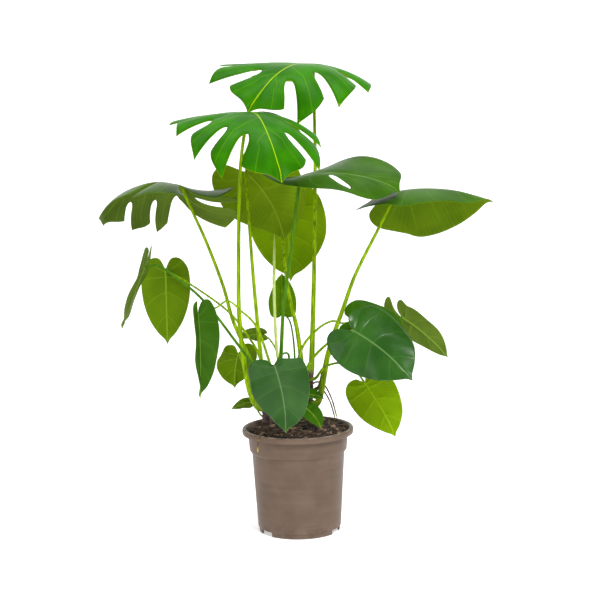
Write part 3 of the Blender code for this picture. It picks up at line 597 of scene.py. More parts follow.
def build_blade(name, leaf, settings, material):
    """A leaf blade as one closed shell.

    The lobes of both halves are grids over (s, t), welded along the veins they
    share.  The shell's two skins stand off the middle surface along its normals:
    half the thickness, less a furrow on the upper side, more a ridge on the under
    side over the midrib and veins.  A strip of faces closes the margin.
    """
    _, veins, wave, droop = LOOKS[name]
    split = "left" in leaf or "right" in leaf
    small = leaf["length"] < SMALL_BLADE
    columns = settings.columns if split else max(10, int(settings.columns * (0.45 if small else 0.8)))
    rows = 96 if split else veins * (8 if small else 14)
    seed = sum(map(ord, name)) % 17
    grids = []
    for side in (1, -1):
        half = half_blade(leaf, side, veins, rows, columns, settings, wave, droop, seed)
        grids += [(side, grid) for grid in half]
    faces = []
    start = 0
    for side, grid in grids:
        wide = grid["t"].shape[1]
        patch = quads(grid["t"].shape[0], wide, start)
        faces.append(patch[:, ::-1] if side > 0 else patch)
        start += grid["t"].size
    faces = np.vstack(faces)
    raw = {key: np.concatenate([grid[key].reshape(-1, *grid[key].shape[2:]) for _, grid in grids])
           for key in grids[0][1]}
    points, number = weld(raw["place"])
    count = len(points)
    offset, ridge, rib_y, rib_x = (np.zeros(count) for _ in range(4))
    for key, target in (("offset", offset), ("ridge", ridge), ("y", rib_y), ("x", rib_x)):
        target[number] = raw[key]
    solid = number[faces]
    normal = point_normals(points, solid)
    points = points + normal * (offset + 0.0012 * waves(points, 55, seed))[:, None]
    normal = point_normals(points, solid)
    rib_long = np.clip(rib_x / leaf["length"], 0, 1)
    rib = np.exp(-(rib_y / (0.0022 - 0.0012 * rib_long)) ** 2) * (rib_x > -0.002)
    half = settings.thickness / 2
    above = half - settings.rib_furrow * rib * (1 - rib_long)
    below = half + settings.rib_height * rib * (1 - rib_long) ** 0.8 + settings.vein_height * ridge
    top = points + normal * above[:, None]
    bottom = points - normal * below[:, None]
    edge = open_edges(solid)
    rim = np.stack([edge[:, 1], edge[:, 0], edge[:, 0] + count, edge[:, 1] + count], -1)
    all_faces = np.vstack([solid, solid[:, ::-1] + count, rim])
    first_raw = np.zeros(count, int)
    first_raw[number] = np.arange(len(number))
    corner = np.vstack([faces, faces[:, ::-1], first_raw[edge[:, [1, 0, 0, 1]]]])
    corner_maps = {
        "veins": np.stack([raw["vein"][corner], raw["edge"][corner]], -1),
        "blade": np.stack([raw["x"][corner], raw["y"][corner]], -1),
        "cells": np.stack([raw["cell"][corner], raw["t"][corner]], -1),
    }
    point_values = {"under": np.concatenate([np.zeros(count), np.ones(count)])}
    face_list, corner_maps = drop_repeats(all_faces, corner_maps)
    return add_piece("leaf_" + name, np.vstack([top, bottom]), face_list, material, ("blade_" + name,),
                     "blade_green", corner_maps, point_values)


def drop_repeats(faces, corner_maps):
    """Takes out the second of two equal corners in each face, and faces left with two."""
    same = faces == np.roll(faces, -1, axis=1)
    left = 4 - same.sum(axis=1)
    mask = (~same) & (left >= 3)[:, None]
    flat = faces[mask]
    sizes = mask.sum(axis=1)
    sizes = sizes[sizes > 0]
    ends = np.cumsum(sizes)
    face_list = [part.tolist() for part in np.split(flat, ends[:-1])]
    return face_list, {key: values[mask] for key, values in corner_maps.items()}


# ------------------------------------------------------------------ stems
def sweep(path, radius, sides, around=None):
    """A closed tube: circles of the given radius carried along the path.

    Their axes lie in and across the path's mean plane, so the tube doesn't twist.
    around multiplies the radius over (length, angle).  A pole closes each end.
    """
    tangent = np.gradient(path, axis=0)
    tangent /= np.linalg.norm(tangent, axis=1, keepdims=True)
    flattest = np.linalg.svd(path - path.mean(axis=0))[2][-1]
    if abs(flattest[2]) > 0.9:
        flattest = np.array([0.0, 1.0, 0.0])
    across = np.cross(tangent, flattest)
    across /= np.linalg.norm(across, axis=1, keepdims=True)
    beside = np.cross(tangent, across)
    angle = np.arange(sides) * 2 * pi / sides
    wide = np.broadcast_to(np.asarray(radius)[:, None], (len(path), sides)).copy()
    if around is not None:
        wide = wide * around
    ring = (across[:, None] * np.cos(angle)[None, :, None] + beside[:, None] * np.sin(angle)[None, :, None])
    tube = path[:, None] + ring * wide[..., None]
    points = np.vstack([tube.reshape(-1, 3), path[0] - tangent[0] * radius[0] * 0.3,
                        path[-1] + tangent[-1] * radius[-1] * 0.3])
    faces = quads(len(path), sides, closed=True).tolist()
    low, high = len(points) - 2, len(points) - 1
    last = (len(path) - 1) * sides
    faces += pole_fans(low, high, last, sides)
    long = np.concatenate([np.repeat(np.linspace(0, 1, len(path)), sides), [0, 1]])
    turn = np.concatenate([np.tile(angle / (2 * pi), len(path)), [0.5, 0.5]])
    return points, faces, long, turn


def outward_faces(points, faces):
    """Turns all faces round if the shape they close has its inside out."""
    volume = 0.0
    for face in faces:
        a = points[face[0]]
        for k in range(1, len(face) - 1):
            volume += np.dot(a, np.cross(points[face[k]], points[face[k + 1]]))
    return faces if volume > 0 else [face[::-1] for face in faces]


def cane_joint(start):
    """The point on the nearest cane's axis to one that lies a little under start."""
    axes = np.concatenate([smooth_path(RODS[name][0], 24) for name in RODS if name.startswith("cane")])
    away = np.linalg.norm(axes - (np.array(start) - (0, 0, JOINT_DROP)), axis=1)
    return tuple(axes[away.argmin()])


def stalk_route(name, samples_per_point):
    """A leaf stalk from its cane into the under side of its blade, with its radius."""
    points, low, high = STALKS[name]
    if points[0][2] > JOINT_LOW:
        points = (cane_joint(points[0]), *points)
    leaf = LEAVES[name]
    end = np.array(leaf["at"]) - blade_frame(leaf) * high * 0.6
    path = smooth_path([*points, tuple(end)], samples_per_point * len(points) + 3)
    share = np.linspace(1, 0, len(path))
    return path, share ** 1.5 * (low - high) + high


def build_stalk(name, settings, material):
    """A leaf stalk: a tube with a furrow along its inner side, a thicker knee just
    under the blade and, low down, the two thin wings of its sheath."""
    path, radius = stalk_route(name, 9)
    long = np.linspace(0, 1, len(path))[:, None]
    angle = (np.arange(settings.sides) * 2 * pi / settings.sides)[None, :]
    furrow = settings.furrow * np.exp(-(np.abs(angle - pi) / 0.45) ** 2) * (1 - 0.5 * long)
    wings = settings.sheath * np.exp(-(np.abs(np.abs(angle - pi) - 0.75) / 0.22) ** 2)
    wings = wings * step_up(0.45 - long, 0.0, 0.3)
    knee = settings.knee * np.exp(-((long - 0.965) / 0.03) ** 2)
    points, faces, length, turn = sweep(path, radius, settings.sides, 1 - furrow + wings + knee)
    faces = outward_faces(points, faces)
    return add_piece("stem_" + name, points, faces, material, ("stalk_" + name,), "stalk_green",
                     point_values={"length": length, "turn": turn})


def build_rolled_leaf(settings, material):
    """The new leaf, still rolled: a tube whose free edge winds up it as a low step."""
    points, low, high = RODS["rolled_leaf"]
    path = smooth_path(points, 60)
    long = np.linspace(0, 1, len(path))
    radius = (low + (high - low) * long) * (1 + 0.25 * np.exp(-((long - 0.75) / 0.18) ** 2))
    radius = radius * (1 - 0.75 * step_up(long, 0.9, 1.0))
    angle = (np.arange(settings.sides) * 2 * pi / settings.sides)[None, :]
    step = 0.10 * ((angle / (2 * pi) + 1.6 * long[:, None]) % 1.0)
    points, faces, length, turn = sweep(path, radius, settings.sides, 1 + step)
    return add_piece("new_leaf", points, outward_faces(points, faces), material, ("rolled_leaf",),
                     "stalk_green", point_values={"length": length, "turn": turn})


def build_cane(name, material):
    """A cane: a tube with a raised ring at each old leaf scar and an uneven skin."""
    points, low, high = RODS[name]
    path = smooth_path(points, 64)
    long = np.linspace(0, 1, len(path))
    rings = np.exp(-(((long * 3.4 + 0.3) % 1.0 - 0.5) / 0.09) ** 2)
    radius = (low + (high - low) * long) * (0.95 + 0.10 * rings)
    radius = radius * np.sqrt(1 - step_up(long, 0.95, 1.0) * 0.5)
    angle = (np.arange(24) * 2 * pi / 24)[None, :]
    rough = 1 + 0.035 * np.sin(5 * angle + 9 * long[:, None]) * np.cos(31 * long[:, None])
    points, faces, length, turn = sweep(path, radius, 24, rough)
    return add_piece("cane_skin_" + name.split("_")[1], points, outward_faces(points, faces), material,
                     (name,), "cane_brown", point_values={"length": length, "turn": turn})


def build_root(name, material):
    """An aerial root: a tapering tube with small swellings and a rounded tip."""
    points, low, high = RODS[name]
    if points[0][2] > JOINT_LOW:
        points = (cane_joint(points[0]), *points)
    path = smooth_path(points, 56)
    long = np.linspace(0, 1, len(path))
    radius = (low + (high - low) * long) * (1 + 0.10 * np.sin(40 * long) * np.sin(17 * long + 1))
    radius = radius * np.sqrt(1 - step_up(long, 0.93, 1.0) * 0.8)
    points, faces, length, turn = sweep(path, radius, 12)
    return add_piece("air_" + name, points, outward_faces(points, faces), material, (name,),
                     "root_brown", point_values={"length": length, "turn": turn})


def build_stub(settings, material):
    """A young green shoot between the canes, pointed at its top."""
    points, low, high = RODS["green_stub"]
    path = smooth_path(points, 30)
    long = np.linspace(0, 1, len(path))
    radius = (low + (high - low) * long) * (1 - 0.7 * step_up(long, 0.6, 1.0))
    points, faces, length, turn = sweep(path, radius, settings.sides)
    return add_piece("shoot_tip", points, outward_faces(points, faces), material, ("green_stub",),
                     "stalk_green", point_values={"length": length, "turn": turn})


# ------------------------------------------------------------------ pot and soil
def pot_profile(settings):
    """Half section of the pot from its inner floor up, over the lip and down to the foot."""
    wall = settings.wall
    rim, rim_top = settings.rim_radius, settings.height
    lip = rim_top - settings.lip
    collar = settings.collar_bottom
    inner = [
        (BODY_LOW_RADIUS - wall, FLOOR_LEVEL + wall),
        (BODY_HIGH_RADIUS - wall, collar),
        (0.0915 - wall, collar + 0.0045),
        (0.0943 - wall, lip),
        (0.0967, rim_top - 0.0035),
        (0.0972, rim_top - 0.0018),
        (0.0984, rim_top - 0.0005),
        (0.1000, rim_top),
        (rim - 0.0026, rim_top),
        (rim - 0.0012, rim_top - 0.0007),
        (rim - 0.0003, rim_top - 0.0020),
        (rim, rim_top - 0.0040),
        (rim - 0.0002, lip + 0.0012),
        (rim - 0.0007, lip + 0.0002),
        (rim - 0.0013, lip),
        (rim - 0.0020, lip + 0.0003),
        (rim - 0.0021, rim_top - 0.0040),
        (0.0979, rim_top - 0.0046),
        (0.0948, lip + 0.0012),
        (0.0942, lip - 0.0015),
        (0.0919, collar + 0.0050),
        (0.0914, collar + 0.0032),
        (0.0903, collar + 0.0016),
        (0.0886, collar + 0.0006),
        (0.0876, collar - 0.0002),
        (BODY_HIGH_RADIUS, collar - 0.0012),
    ]
    low = [(BODY_LOW_RADIUS, settings.foot + 0.0012),
           (0.0783, settings.foot + 0.0003), (0.0776, settings.foot),
           (0.0768, settings.foot), (0.0765, settings.foot - 0.0004)]
    foot = [(0.0765, 0.0010), (0.0762, 0.0003), (0.0757, 0.0), (0.0740, 0.0), (0.0736, 0.0003),
            (FOOT_INNER_RADIUS, 0.0010), (FOOT_INNER_RADIUS, FLOOR_LEVEL)]
    return inner, low, foot


def pot_angles(settings):
    """Angles round the pot: even steps, with close pairs at both sides of every notch."""
    even = np.arange(settings.segments) * 2 * pi / settings.segments
    sides = [radians(settings.notch_turn + k * 120 + way * settings.notch / 2 + small)
             for k in range(3) for way in (-1, 1) for small in (-0.35, 0.35)]
    sectors = np.arange(2 * SECTORS) * pi / SECTORS
    return np.unique(np.round(np.concatenate([even, np.mod(sides, 2 * pi), sectors]), 9))


def build_pot(settings, material):
    """The pot as one closed shell of revolution.

    Its half section is carried round the axis.  At the three notches the foot's
    lower edge is lifted to just under the body.  The floor between is drawn from
    the foot's inner wall to the axis in six sectors, each round one drain hole: the
    grid's inner line is the hole's circle and its outer line the sector's border.
    """
    inner, low, foot = pot_profile(settings)
    angle = pot_angles(settings)
    profile = np.array(inner + low + foot)
    count = len(profile)
    subdivided = []
    for k in range(count - 1):
        steps = 6 if np.linalg.norm(profile[k + 1] - profile[k]) > 0.02 else 1
        share = np.arange(steps)[:, None] / steps
        subdivided.append(profile[k] * (1 - share) + profile[k + 1] * share)
    profile = np.vstack([*subdivided, profile[-1:]])
    radius = profile[:, 0][:, None] + 0 * angle
    height = profile[:, 1][:, None] + 0 * angle
    turn = np.abs((angle - radians(settings.notch_turn) + pi / 3) % (2 * pi / 3) - pi / 3)
    lift = (settings.foot - 0.0010) * (turn < radians(settings.notch / 2))
    foot_row = np.arange(len(profile)) >= len(profile) - len(foot)
    lifted = np.maximum(height, lift[None, :] + np.minimum(height, 0.001))
    height = np.where(foot_row[:, None] & (height < settings.foot - 0.0005), lifted, height)
    place = np.stack([radius * np.cos(angle), radius * np.sin(angle), height], -1)
    points = [place.reshape(-1, 3)]
    faces = [quads(len(profile), len(angle), closed=True)]
    start = place.size // 3
    inner_radius, upper_level = BODY_LOW_RADIUS - settings.wall, FLOOR_LEVEL + settings.wall
    for outer, level, flip in ((inner_radius, upper_level, True), (FOOT_INNER_RADIUS, FLOOR_LEVEL, False)):
        for sector in range(SECTORS):
            for grid, closed in ((floor_sector(angle, sector, outer, level, settings), True),
                                 (floor_hub(angle, sector, level), False)):
                points.append(grid.reshape(-1, 3))
                part = quads(grid.shape[0], grid.shape[1], start, closed)
                faces.append(part if flip else part[:, ::-1])
                start += grid.shape[0] * grid.shape[1]
    for sector in range(SECTORS):
        upper = floor_sector(angle, sector, inner_radius, upper_level, settings)[0]
        lower = floor_sector(angle, sector, FOOT_INNER_RADIUS, FLOOR_LEVEL, settings)[0]
        wall = np.stack([upper, lower])
        points.append(wall.reshape(-1, 3))
        faces.append(quads(2, wall.shape[1], start, closed=True))
        start += 2 * wall.shape[1]
    points, number = weld(np.vstack(points), 1e-6)
    solid = number[np.vstack(faces)]
    face_list, _ = drop_repeats(solid, {})
    face_list = outward_faces(points, face_list)
    return add_piece("pot_shell", points, face_list, material, ("pot",), "pot_plastic")


def sector_angles(angle, sector):
    """The pot's own angles within one sixth of the turn, both ends included."""
    low, high = sector * 2 * pi / SECTORS, (sector + 1) * 2 * pi / SECTORS
    inside = angle[(angle > low + 1e-7) & (angle < high - 1e-7)]
    return np.concatenate([[low], inside, [high]])


def floor_sector(angle, sector, outer, level, settings):
    """Grid from a drain hole's circle out to the border of its sector of the floor.

    The border runs out along one side, round the outer arc, back along the other
    side and round the inner arc.  Each of its points has a partner on the circle in
    the same direction from the hole's centre.
    """
    arc = sector_angles(angle, sector)
    middle = (arc[0] + arc[-1]) / 2
    centre = np.array([settings.drain_circle * cos(middle), settings.drain_circle * sin(middle)])
    way = sector_border(arc, FOOT_INNER_RADIUS) - centre
    way /= np.linalg.norm(way, axis=1, keepdims=True)
    circle = centre + way * settings.drain_radius
    share = np.linspace(0, 1, 4)[:, None, None]
    flat = circle[None] * (1 - share) + sector_border(arc, outer)[None] * share
    return np.concatenate([flat, np.full((*flat.shape[:2], 1), level)], -1)


def sector_border(arc, outer):
    """Points round one sector: out, along the outer arc, back and along the inner arc."""
    sides = np.linspace(HUB_RADIUS, outer, 10)
    first, last = arc[0], arc[-1]
    way_out = np.stack([sides * cos(first), sides * sin(first)], -1)[:-1]
    outer_arc = np.stack([outer * np.cos(arc), outer * np.sin(arc)], -1)[:-1]
    way_back = np.stack([sides[::-1] * cos(last), sides[::-1] * sin(last)], -1)[:-1]
    inner_arc = np.stack([HUB_RADIUS * np.cos(arc[::-1]), HUB_RADIUS * np.sin(arc[::-1])], -1)[:-1]
    return np.vstack([way_out, outer_arc, way_back, inner_arc])


def floor_hub(angle, sector, level):
    """Wedge of the floor between the axis and the sectors with the drain holes."""
    arc = sector_angles(angle, sector)
    radius = np.array([0.0, 0.010, HUB_RADIUS])[:, None]
    flat = np.stack([radius * np.cos(arc), radius * np.sin(arc)], -1)
    return np.concatenate([flat, np.full((*flat.shape[:2], 1), level)], -1)[:, ::-1]


def soil_level(x, y):
    """Height of the soil: a dome, a heap on one side and lumps of several sizes."""
    reach = np.hypot(x, y) / SOIL_RADIUS
    dome = SOIL_EDGE + (SOIL_CROWN - SOIL_EDGE) * (1 - reach ** 2)
    heap = SOIL_HEAP * np.maximum(0, x * cos(radians(40)) + y * sin(radians(40))) / SOIL_RADIUS
    spots = np.stack([x, y, 0 * x], -1)
    lumps = 0.0016 * waves(spots, 110, 3) + 0.0012 * waves(spots, 330, 4) + 0.0007 * waves(spots, 900, 5)
    return dome + heap + lumps * (1 - 0.5 * reach ** 6)


def build_soil(material):
    """The soil: a disc of rings over the level function, closed by its side and floor."""
    rings, spokes = 90, 240
    radius = (np.arange(rings + 1) / rings * SOIL_RADIUS)[:, None]
    angle = (np.arange(spokes) * 2 * pi / spokes)[None, :]
    x, y = radius * np.cos(angle), radius * np.sin(angle)
    top = np.stack([x, y, soil_level(x, y)], -1)[1:]
    side = np.array([(0.0893, 0.160), (0.0850, 0.150), (0.0765, SOIL_BASE)])
    wall = np.stack([side[:, :1] * np.cos(angle), side[:, :1] * np.sin(angle), side[:, 1:] + 0 * angle], -1)
    grid = np.concatenate([top, wall])
    middle = float(soil_level(np.zeros(1), np.zeros(1))[0])
    points = np.vstack([grid.reshape(-1, 3), [0, 0, middle], [0, 0, SOIL_BASE]])
    faces = quads(len(grid), spokes, closed=True).tolist()
    hub, base = len(points) - 2, len(points) - 1
    last = (len(grid) - 1) * spokes
    faces += pole_fans(hub, base, last, spokes)
    return add_piece("soil_bed", points, outward_faces(points, faces), material, ("soil",), "potting_soil")


def build_chips(settings, material):
    """Bark chips and crumbs strewn over the soil.

    Each is a small rounded block: a grid of 6 by 4 points over an ellipsoid whose
    points are pushed in and out, then sized, turned and laid on the soil.
    """
    rng = np.random.default_rng(11)
    count = settings.chips
    around, levels = 6, 4
    angle = np.arange(around) * 2 * pi / around
    height = np.linspace(-1, 1, levels)
    wide = np.array([0.62, 1.0, 1.0, 0.62])[:, None]
    block = np.stack([wide * np.cos(angle), wide * np.sin(angle), height[:, None] * 0.9 + 0 * angle], -1)
    block = np.vstack([block.reshape(-1, 3), [0, 0, -1.0], [0, 0, 1.0]])
    size = 0.0011 + 0.0040 * rng.random(count) ** 3
    shape = np.stack([size * rng.uniform(0.9, 1.9, count), size * rng.uniform(0.6, 1.0, count),
                      size * rng.uniform(0.35, 0.7, count)], -1)
    points = block[None] * (1 + 0.25 * rng.uniform(-1, 1, (count, len(block), 1))) * shape[:, None]
    turn = random_turns(rng, count, 0.7)
    points = np.einsum("nij,nkj->nki", turn, points)
    reach = np.sqrt(rng.random(count)) * (SOIL_RADIUS - 0.004)
    way = rng.uniform(0, 2 * pi, count)
    x, y = reach * np.cos(way), reach * np.sin(way)
    points += np.stack([x, y, soil_level(x, y) + shape[:, 2] * 0.35], -1)[:, None]
    one = quads(levels, around, closed=True).tolist()
    one += pole_fans(around * levels, around * levels + 1, around * (levels - 1), around)
    one = outward_faces(block, one)
    faces = repeated(one, len(block), count)
    shade = np.repeat(rng.random(count), len(block))
    return add_piece("soil_chips", points.reshape(-1, 3), faces, material, (), "potting_soil",
                     point_values={"shade": shade})


def random_turns(rng, count, tilt):
    """Rotation matrices: any turn about Z, then a tilt of up to the given angle."""
    spin = rng.uniform(0, 2 * pi, count)
    lean = rng.uniform(-tilt, tilt, count)
    about = np.zeros((count, 3, 3))
    about[:, 0, 0] = about[:, 1, 1] = np.cos(spin)
    about[:, 0, 1], about[:, 1, 0] = -np.sin(spin), np.sin(spin)
    about[:, 2, 2] = 1
    over = np.zeros((count, 3, 3))
    over[:, 0, 0] = 1
    over[:, 1, 1] = over[:, 2, 2] = np.cos(lean)
    over[:, 1, 2], over[:, 2, 1] = -np.sin(lean), np.sin(lean)
    return about @ over


def build_fibres(settings, material):
    """Fine root hairs and husk fibres on the soil: thin bent tubes of five sides."""
    rng = np.random.default_rng(23)
    count, steps, sides = settings.fibres, 8, 5
    share = np.linspace(-0.5, 0.5, steps)[None, :]
    length = rng.uniform(0.006, 0.020, count)[:, None]
    bend = rng.uniform(-0.5, 0.5, count)[:, None]
    way = rng.uniform(0, 2 * pi, count)[:, None]
    reach = np.sqrt(rng.random(count))[:, None] * (SOIL_RADIUS - 0.014)
    spot = rng.uniform(0, 2 * pi, count)[:, None]
    x = reach * np.cos(spot) + length * (share * np.cos(way) - bend * share ** 2 * np.sin(way))
    y = reach * np.sin(spot) + length * (share * np.sin(way) + bend * share ** 2 * np.cos(way))
    z = soil_level(x, y) + 0.0012 + 0.0030 * rng.random(count)[:, None] * (0.25 - share ** 2) * 4
    line = np.stack([x, y, z], -1)
    tangent = np.gradient(line, axis=1)
    tangent /= np.linalg.norm(tangent, axis=-1, keepdims=True)
    across = np.cross(tangent, [0.0, 0.0, 1.0])
    across /= np.linalg.norm(across, axis=-1, keepdims=True)
    beside = np.cross(tangent, across)
    angle = np.arange(sides) * 2 * pi / sides
    radius = (rng.uniform(0.00022, 0.00045, count)[:, None] * (1.1 - np.abs(share) * 1.6))[..., None, None]
    tube = line[:, :, None] + radius * (across[:, :, None] * np.cos(angle)[None, None, :, None]
                                        + beside[:, :, None] * np.sin(angle)[None, None, :, None])
    ends = np.stack([line[:, 0], line[:, -1]], 1)
    points = np.concatenate([tube.reshape(count, -1, 3), ends], 1)
    one = quads(steps, sides, closed=True).tolist()
    one += pole_fans(steps * sides, steps * sides + 1, (steps - 1) * sides, sides)
    one = outward_faces(points[0], one)
    wide = points.shape[1]
    faces = repeated(one, wide, count)
    shade = np.repeat(rng.random(count), wide)
    return add_piece("soil_fibres", points.reshape(-1, 3), faces, material, (), "root_brown",
                     point_values={"shade": shade})


# ------------------------------------------------------------------ finishes
class Finish:
    """A material's node tree, with a short call for each kind of node it needs."""

    def __init__(self, name):
        self.material = bpy.data.materials.new(name)
        self.material.use_nodes = True
        self.tree = self.material.node_tree
        self.shader = self.tree.nodes["Principled BSDF"]

    def node(self, kind, inputs=(), **settings):
        made = self.tree.nodes.new(kind)
        for key, value in settings.items():
            setattr(made, key, value)
        for key, value in dict(inputs).items():
            self.set(made.inputs[key], value)
        return made

    def set(self, socket, value):
        if isinstance(value, bpy.types.NodeSocket):
            self.tree.links.new(value, socket)
        elif isinstance(value, tuple) and len(value) == 3 and socket.type == "RGBA":
            socket.default_value = (*value, 1.0)
        else:
            socket.default_value = value

    def math(self, operation, first, second=0.0, third=0.0):
        made = self.node("ShaderNodeMath", operation=operation)
        for socket, value in zip(made.inputs, (first, second, third)):
            self.set(socket, value)
        return made.outputs[0]

    def between(self, value, low, high, to_low=0.0, to_high=1.0):
        """Smooth step from to_low at low to to_high at high."""
        made = self.node("ShaderNodeMapRange", interpolation_type="SMOOTHSTEP")
        for key, number in (("Value", value), ("From Min", low), ("From Max", high),
                            ("To Min", to_low), ("To Max", to_high)):
            self.set(made.inputs[key], number)
        return made.outputs[0]

    def mix(self, share, first, second):
        made = self.node("ShaderNodeMix", data_type="RGBA")
        self.set(made.inputs[0], share)
        self.set(made.inputs[6], first)
        self.set(made.inputs[7], second)
        return made.outputs[2]

    def position(self):
        return self.node("ShaderNodeTexCoord").outputs["Object"]

    def noise(self, scale, detail=3.0, vector=None, roughness=0.5):
        made = self.node("ShaderNodeTexNoise", {"Scale": scale, "Detail": detail, "Roughness": roughness})
        self.set(made.inputs["Vector"], vector or self.position())
        return made.outputs[0]

    def stretched(self, scale):
        made = self.node("ShaderNodeMapping")
        self.set(made.inputs["Vector"], self.position())
        made.inputs["Scale"].default_value = scale
        return made.outputs[0]

    def value(self, name):
        return self.node("ShaderNodeAttribute", attribute_name=name).outputs["Fac"]

    def map_pair(self, name):
        made = self.node("ShaderNodeSeparateXYZ")
        self.set(made.inputs[0], self.node("ShaderNodeUVMap", uv_map=name).outputs[0])
        return made.outputs[0], made.outputs[1]

    def bump(self, height, strength, distance):
        made = self.node("ShaderNodeBump", {"Strength": strength, "Distance": distance, "Height": height})
        return made.outputs[0]

    def colour(self, value):
        self.set(self.shader.inputs["Base Color"], value)

    def rough(self, value):
        self.set(self.shader.inputs["Roughness"], value)

    def normal(self, value):
        self.set(self.shader.inputs["Normal"], value)

    def plain(self, **values):
        """Numbers that are the same all over, set on the shader's own sockets."""
        for key, value in values.items():
            self.shader.inputs[key.replace("_", " ")].default_value = value


def blade_material(key):
    """A leaf's two faces: mottled green with fine side veins, a pale midrib, lighter
    main veins and a thin pale margin, partly the leaf's paler edge and partly a
    painted highlight along it; the under side is paler and duller."""
    (top_dark, top_light, under_dark, under_light, top_vein, under_vein,
     top_rough, under_rough, gloss) = BLADE_FINISHES[key]
    made = Finish("blade_" + key)
    vein, edge = made.map_pair("veins")
    along, out = made.map_pair("blade")
    cell, reach = made.map_pair("cells")
    under = made.value("under")
    mottle = made.between(made.noise(16.0, 4.0), 0.35, 0.68, 0.25, 0.80)
    fine = made.noise(140.0, 3.0)
    bent = made.math("ADD", made.math("MULTIPLY", cell, 2 * pi * 7), made.math("MULTIPLY", fine, 2.5))
    stripe = made.math("MULTIPLY_ADD", made.math("SINE", bent), 0.5, 0.5)
    rib_width = made.between(along, 0.0, 0.20, 0.0013, 0.0006)
    rib_away = made.math("SUBTRACT", made.math("ABSOLUTE", out), rib_width)
    rib = made.between(rib_away, 0.0, 0.0007, 1.0, 0.0)
    vein_width = made.between(reach, 0.0, 1.0, 0.0007, 0.0003)
    vein_line = made.between(made.math("SUBTRACT", vein, vein_width), 0.0, 0.0007, 1.0, 0.0)
    # pale margin line: the leaf's paler edge, with a painted highlight along it
    margin = made.between(edge, 0.0004, 0.0016, 1.0, 0.0)
    halo = made.between(vein, 0.0, 0.009, 1.0, 0.0)

    top = made.mix(mottle, top_dark, top_light)
    top = made.mix(made.math("MULTIPLY", stripe, 0.12), top, top_dark)
    top = made.mix(made.math("MULTIPLY", halo, 0.15), top, top_light)
    top = made.mix(made.math("MULTIPLY", vein_line, 0.13), top, top_vein)
    top = made.mix(made.math("MULTIPLY", margin, 0.30), top, top_vein)
    top = made.mix(made.math("MULTIPLY", rib, 0.80), top, top_vein)
    below = made.mix(mottle, under_dark, under_light)
    below = made.mix(made.math("MULTIPLY", stripe, 0.35), below, under_light)
    below = made.mix(made.math("MULTIPLY", vein_line, 0.40), below, under_vein)
    below = made.mix(made.math("MULTIPLY", margin, 0.40), below, under_vein)
    below = made.mix(made.math("MULTIPLY", rib, 0.80), below, under_vein)
    made.colour(made.mix(under, top, below))
    shine = made.math("MULTIPLY_ADD", fine, 0.12, top_rough - 0.06)
    dull = made.math("MULTIPLY_ADD", fine, 0.12, under_rough - 0.06)
    made.rough(made.math("ADD", made.math("MULTIPLY", shine, made.math("SUBTRACT", 1.0, under)),
                         made.math("MULTIPLY", dull, under)))
    relief = made.math("MULTIPLY_ADD", stripe, 0.2, made.math("MULTIPLY", fine, 0.8))
    made.normal(made.bump(relief, 0.25, 0.0006))
    made.plain(IOR=1.38, Specular_IOR_Level=gloss)
    return made.material


def stalk_material(key, dark, light, base):
    """A fleshy stalk: long streaks, pale specks, a paler, browner foot and painted light, one side made
    lighter.
    """
    made = Finish("stalk_" + key)
    length, turn = made.value("length"), made.value("turn")
    streaks = made.noise(1.0, 4.0, made.stretched((320.0, 320.0, 14.0)))
    shades = made.mix(made.between(streaks, 0.35, 0.65), dark, light)
    # painted light: one side of every stalk is made lighter, as if lit
    painted_light_side = made.math("MULTIPLY_ADD", made.math("COSINE", made.math("MULTIPLY", turn, 2 * pi)), 0.5, 0.5)
    shades = made.mix(made.math("MULTIPLY", painted_light_side, 0.30), shades, light)
    shades = made.mix(made.between(length, 0.0, 0.35, 0.75, 0.0), shades, base)
    specks = made.between(made.noise(420.0, 2.0), 0.66, 0.74)
    shades = made.mix(made.math("MULTIPLY", specks, 0.35), shades, base)
    made.colour(shades)
    made.rough(made.math("MULTIPLY_ADD", streaks, 0.20, 0.30))
    made.normal(made.bump(streaks, 0.30, 0.0006))
    made.plain(Specular_IOR_Level=0.04)
    return made.material


def bark_material(key, dark, light, tip):
    """Woody skin: streaks along it, pale flecks and a lighter growing tip."""
    made = Finish("bark_" + key)
    length = made.value("length")
    coarse = made.noise(90.0, 5.0)
    grain = made.noise(1.0, 4.0, made.stretched((420.0, 420.0, 90.0)))
    shades = made.mix(made.between(coarse, 0.35, 0.65), dark, light)
    shades = made.mix(made.math("MULTIPLY", made.between(grain, 0.6, 0.75), 0.5), shades, tip)
    shades = made.mix(made.between(length, 0.86, 0.98), shades, tip)
    made.colour(shades)
    made.rough(made.math("MULTIPLY_ADD", coarse, 0.25, 0.50))
    made.normal(made.bump(made.math("ADD", coarse, grain), 0.5, 0.0010))
    return made.material


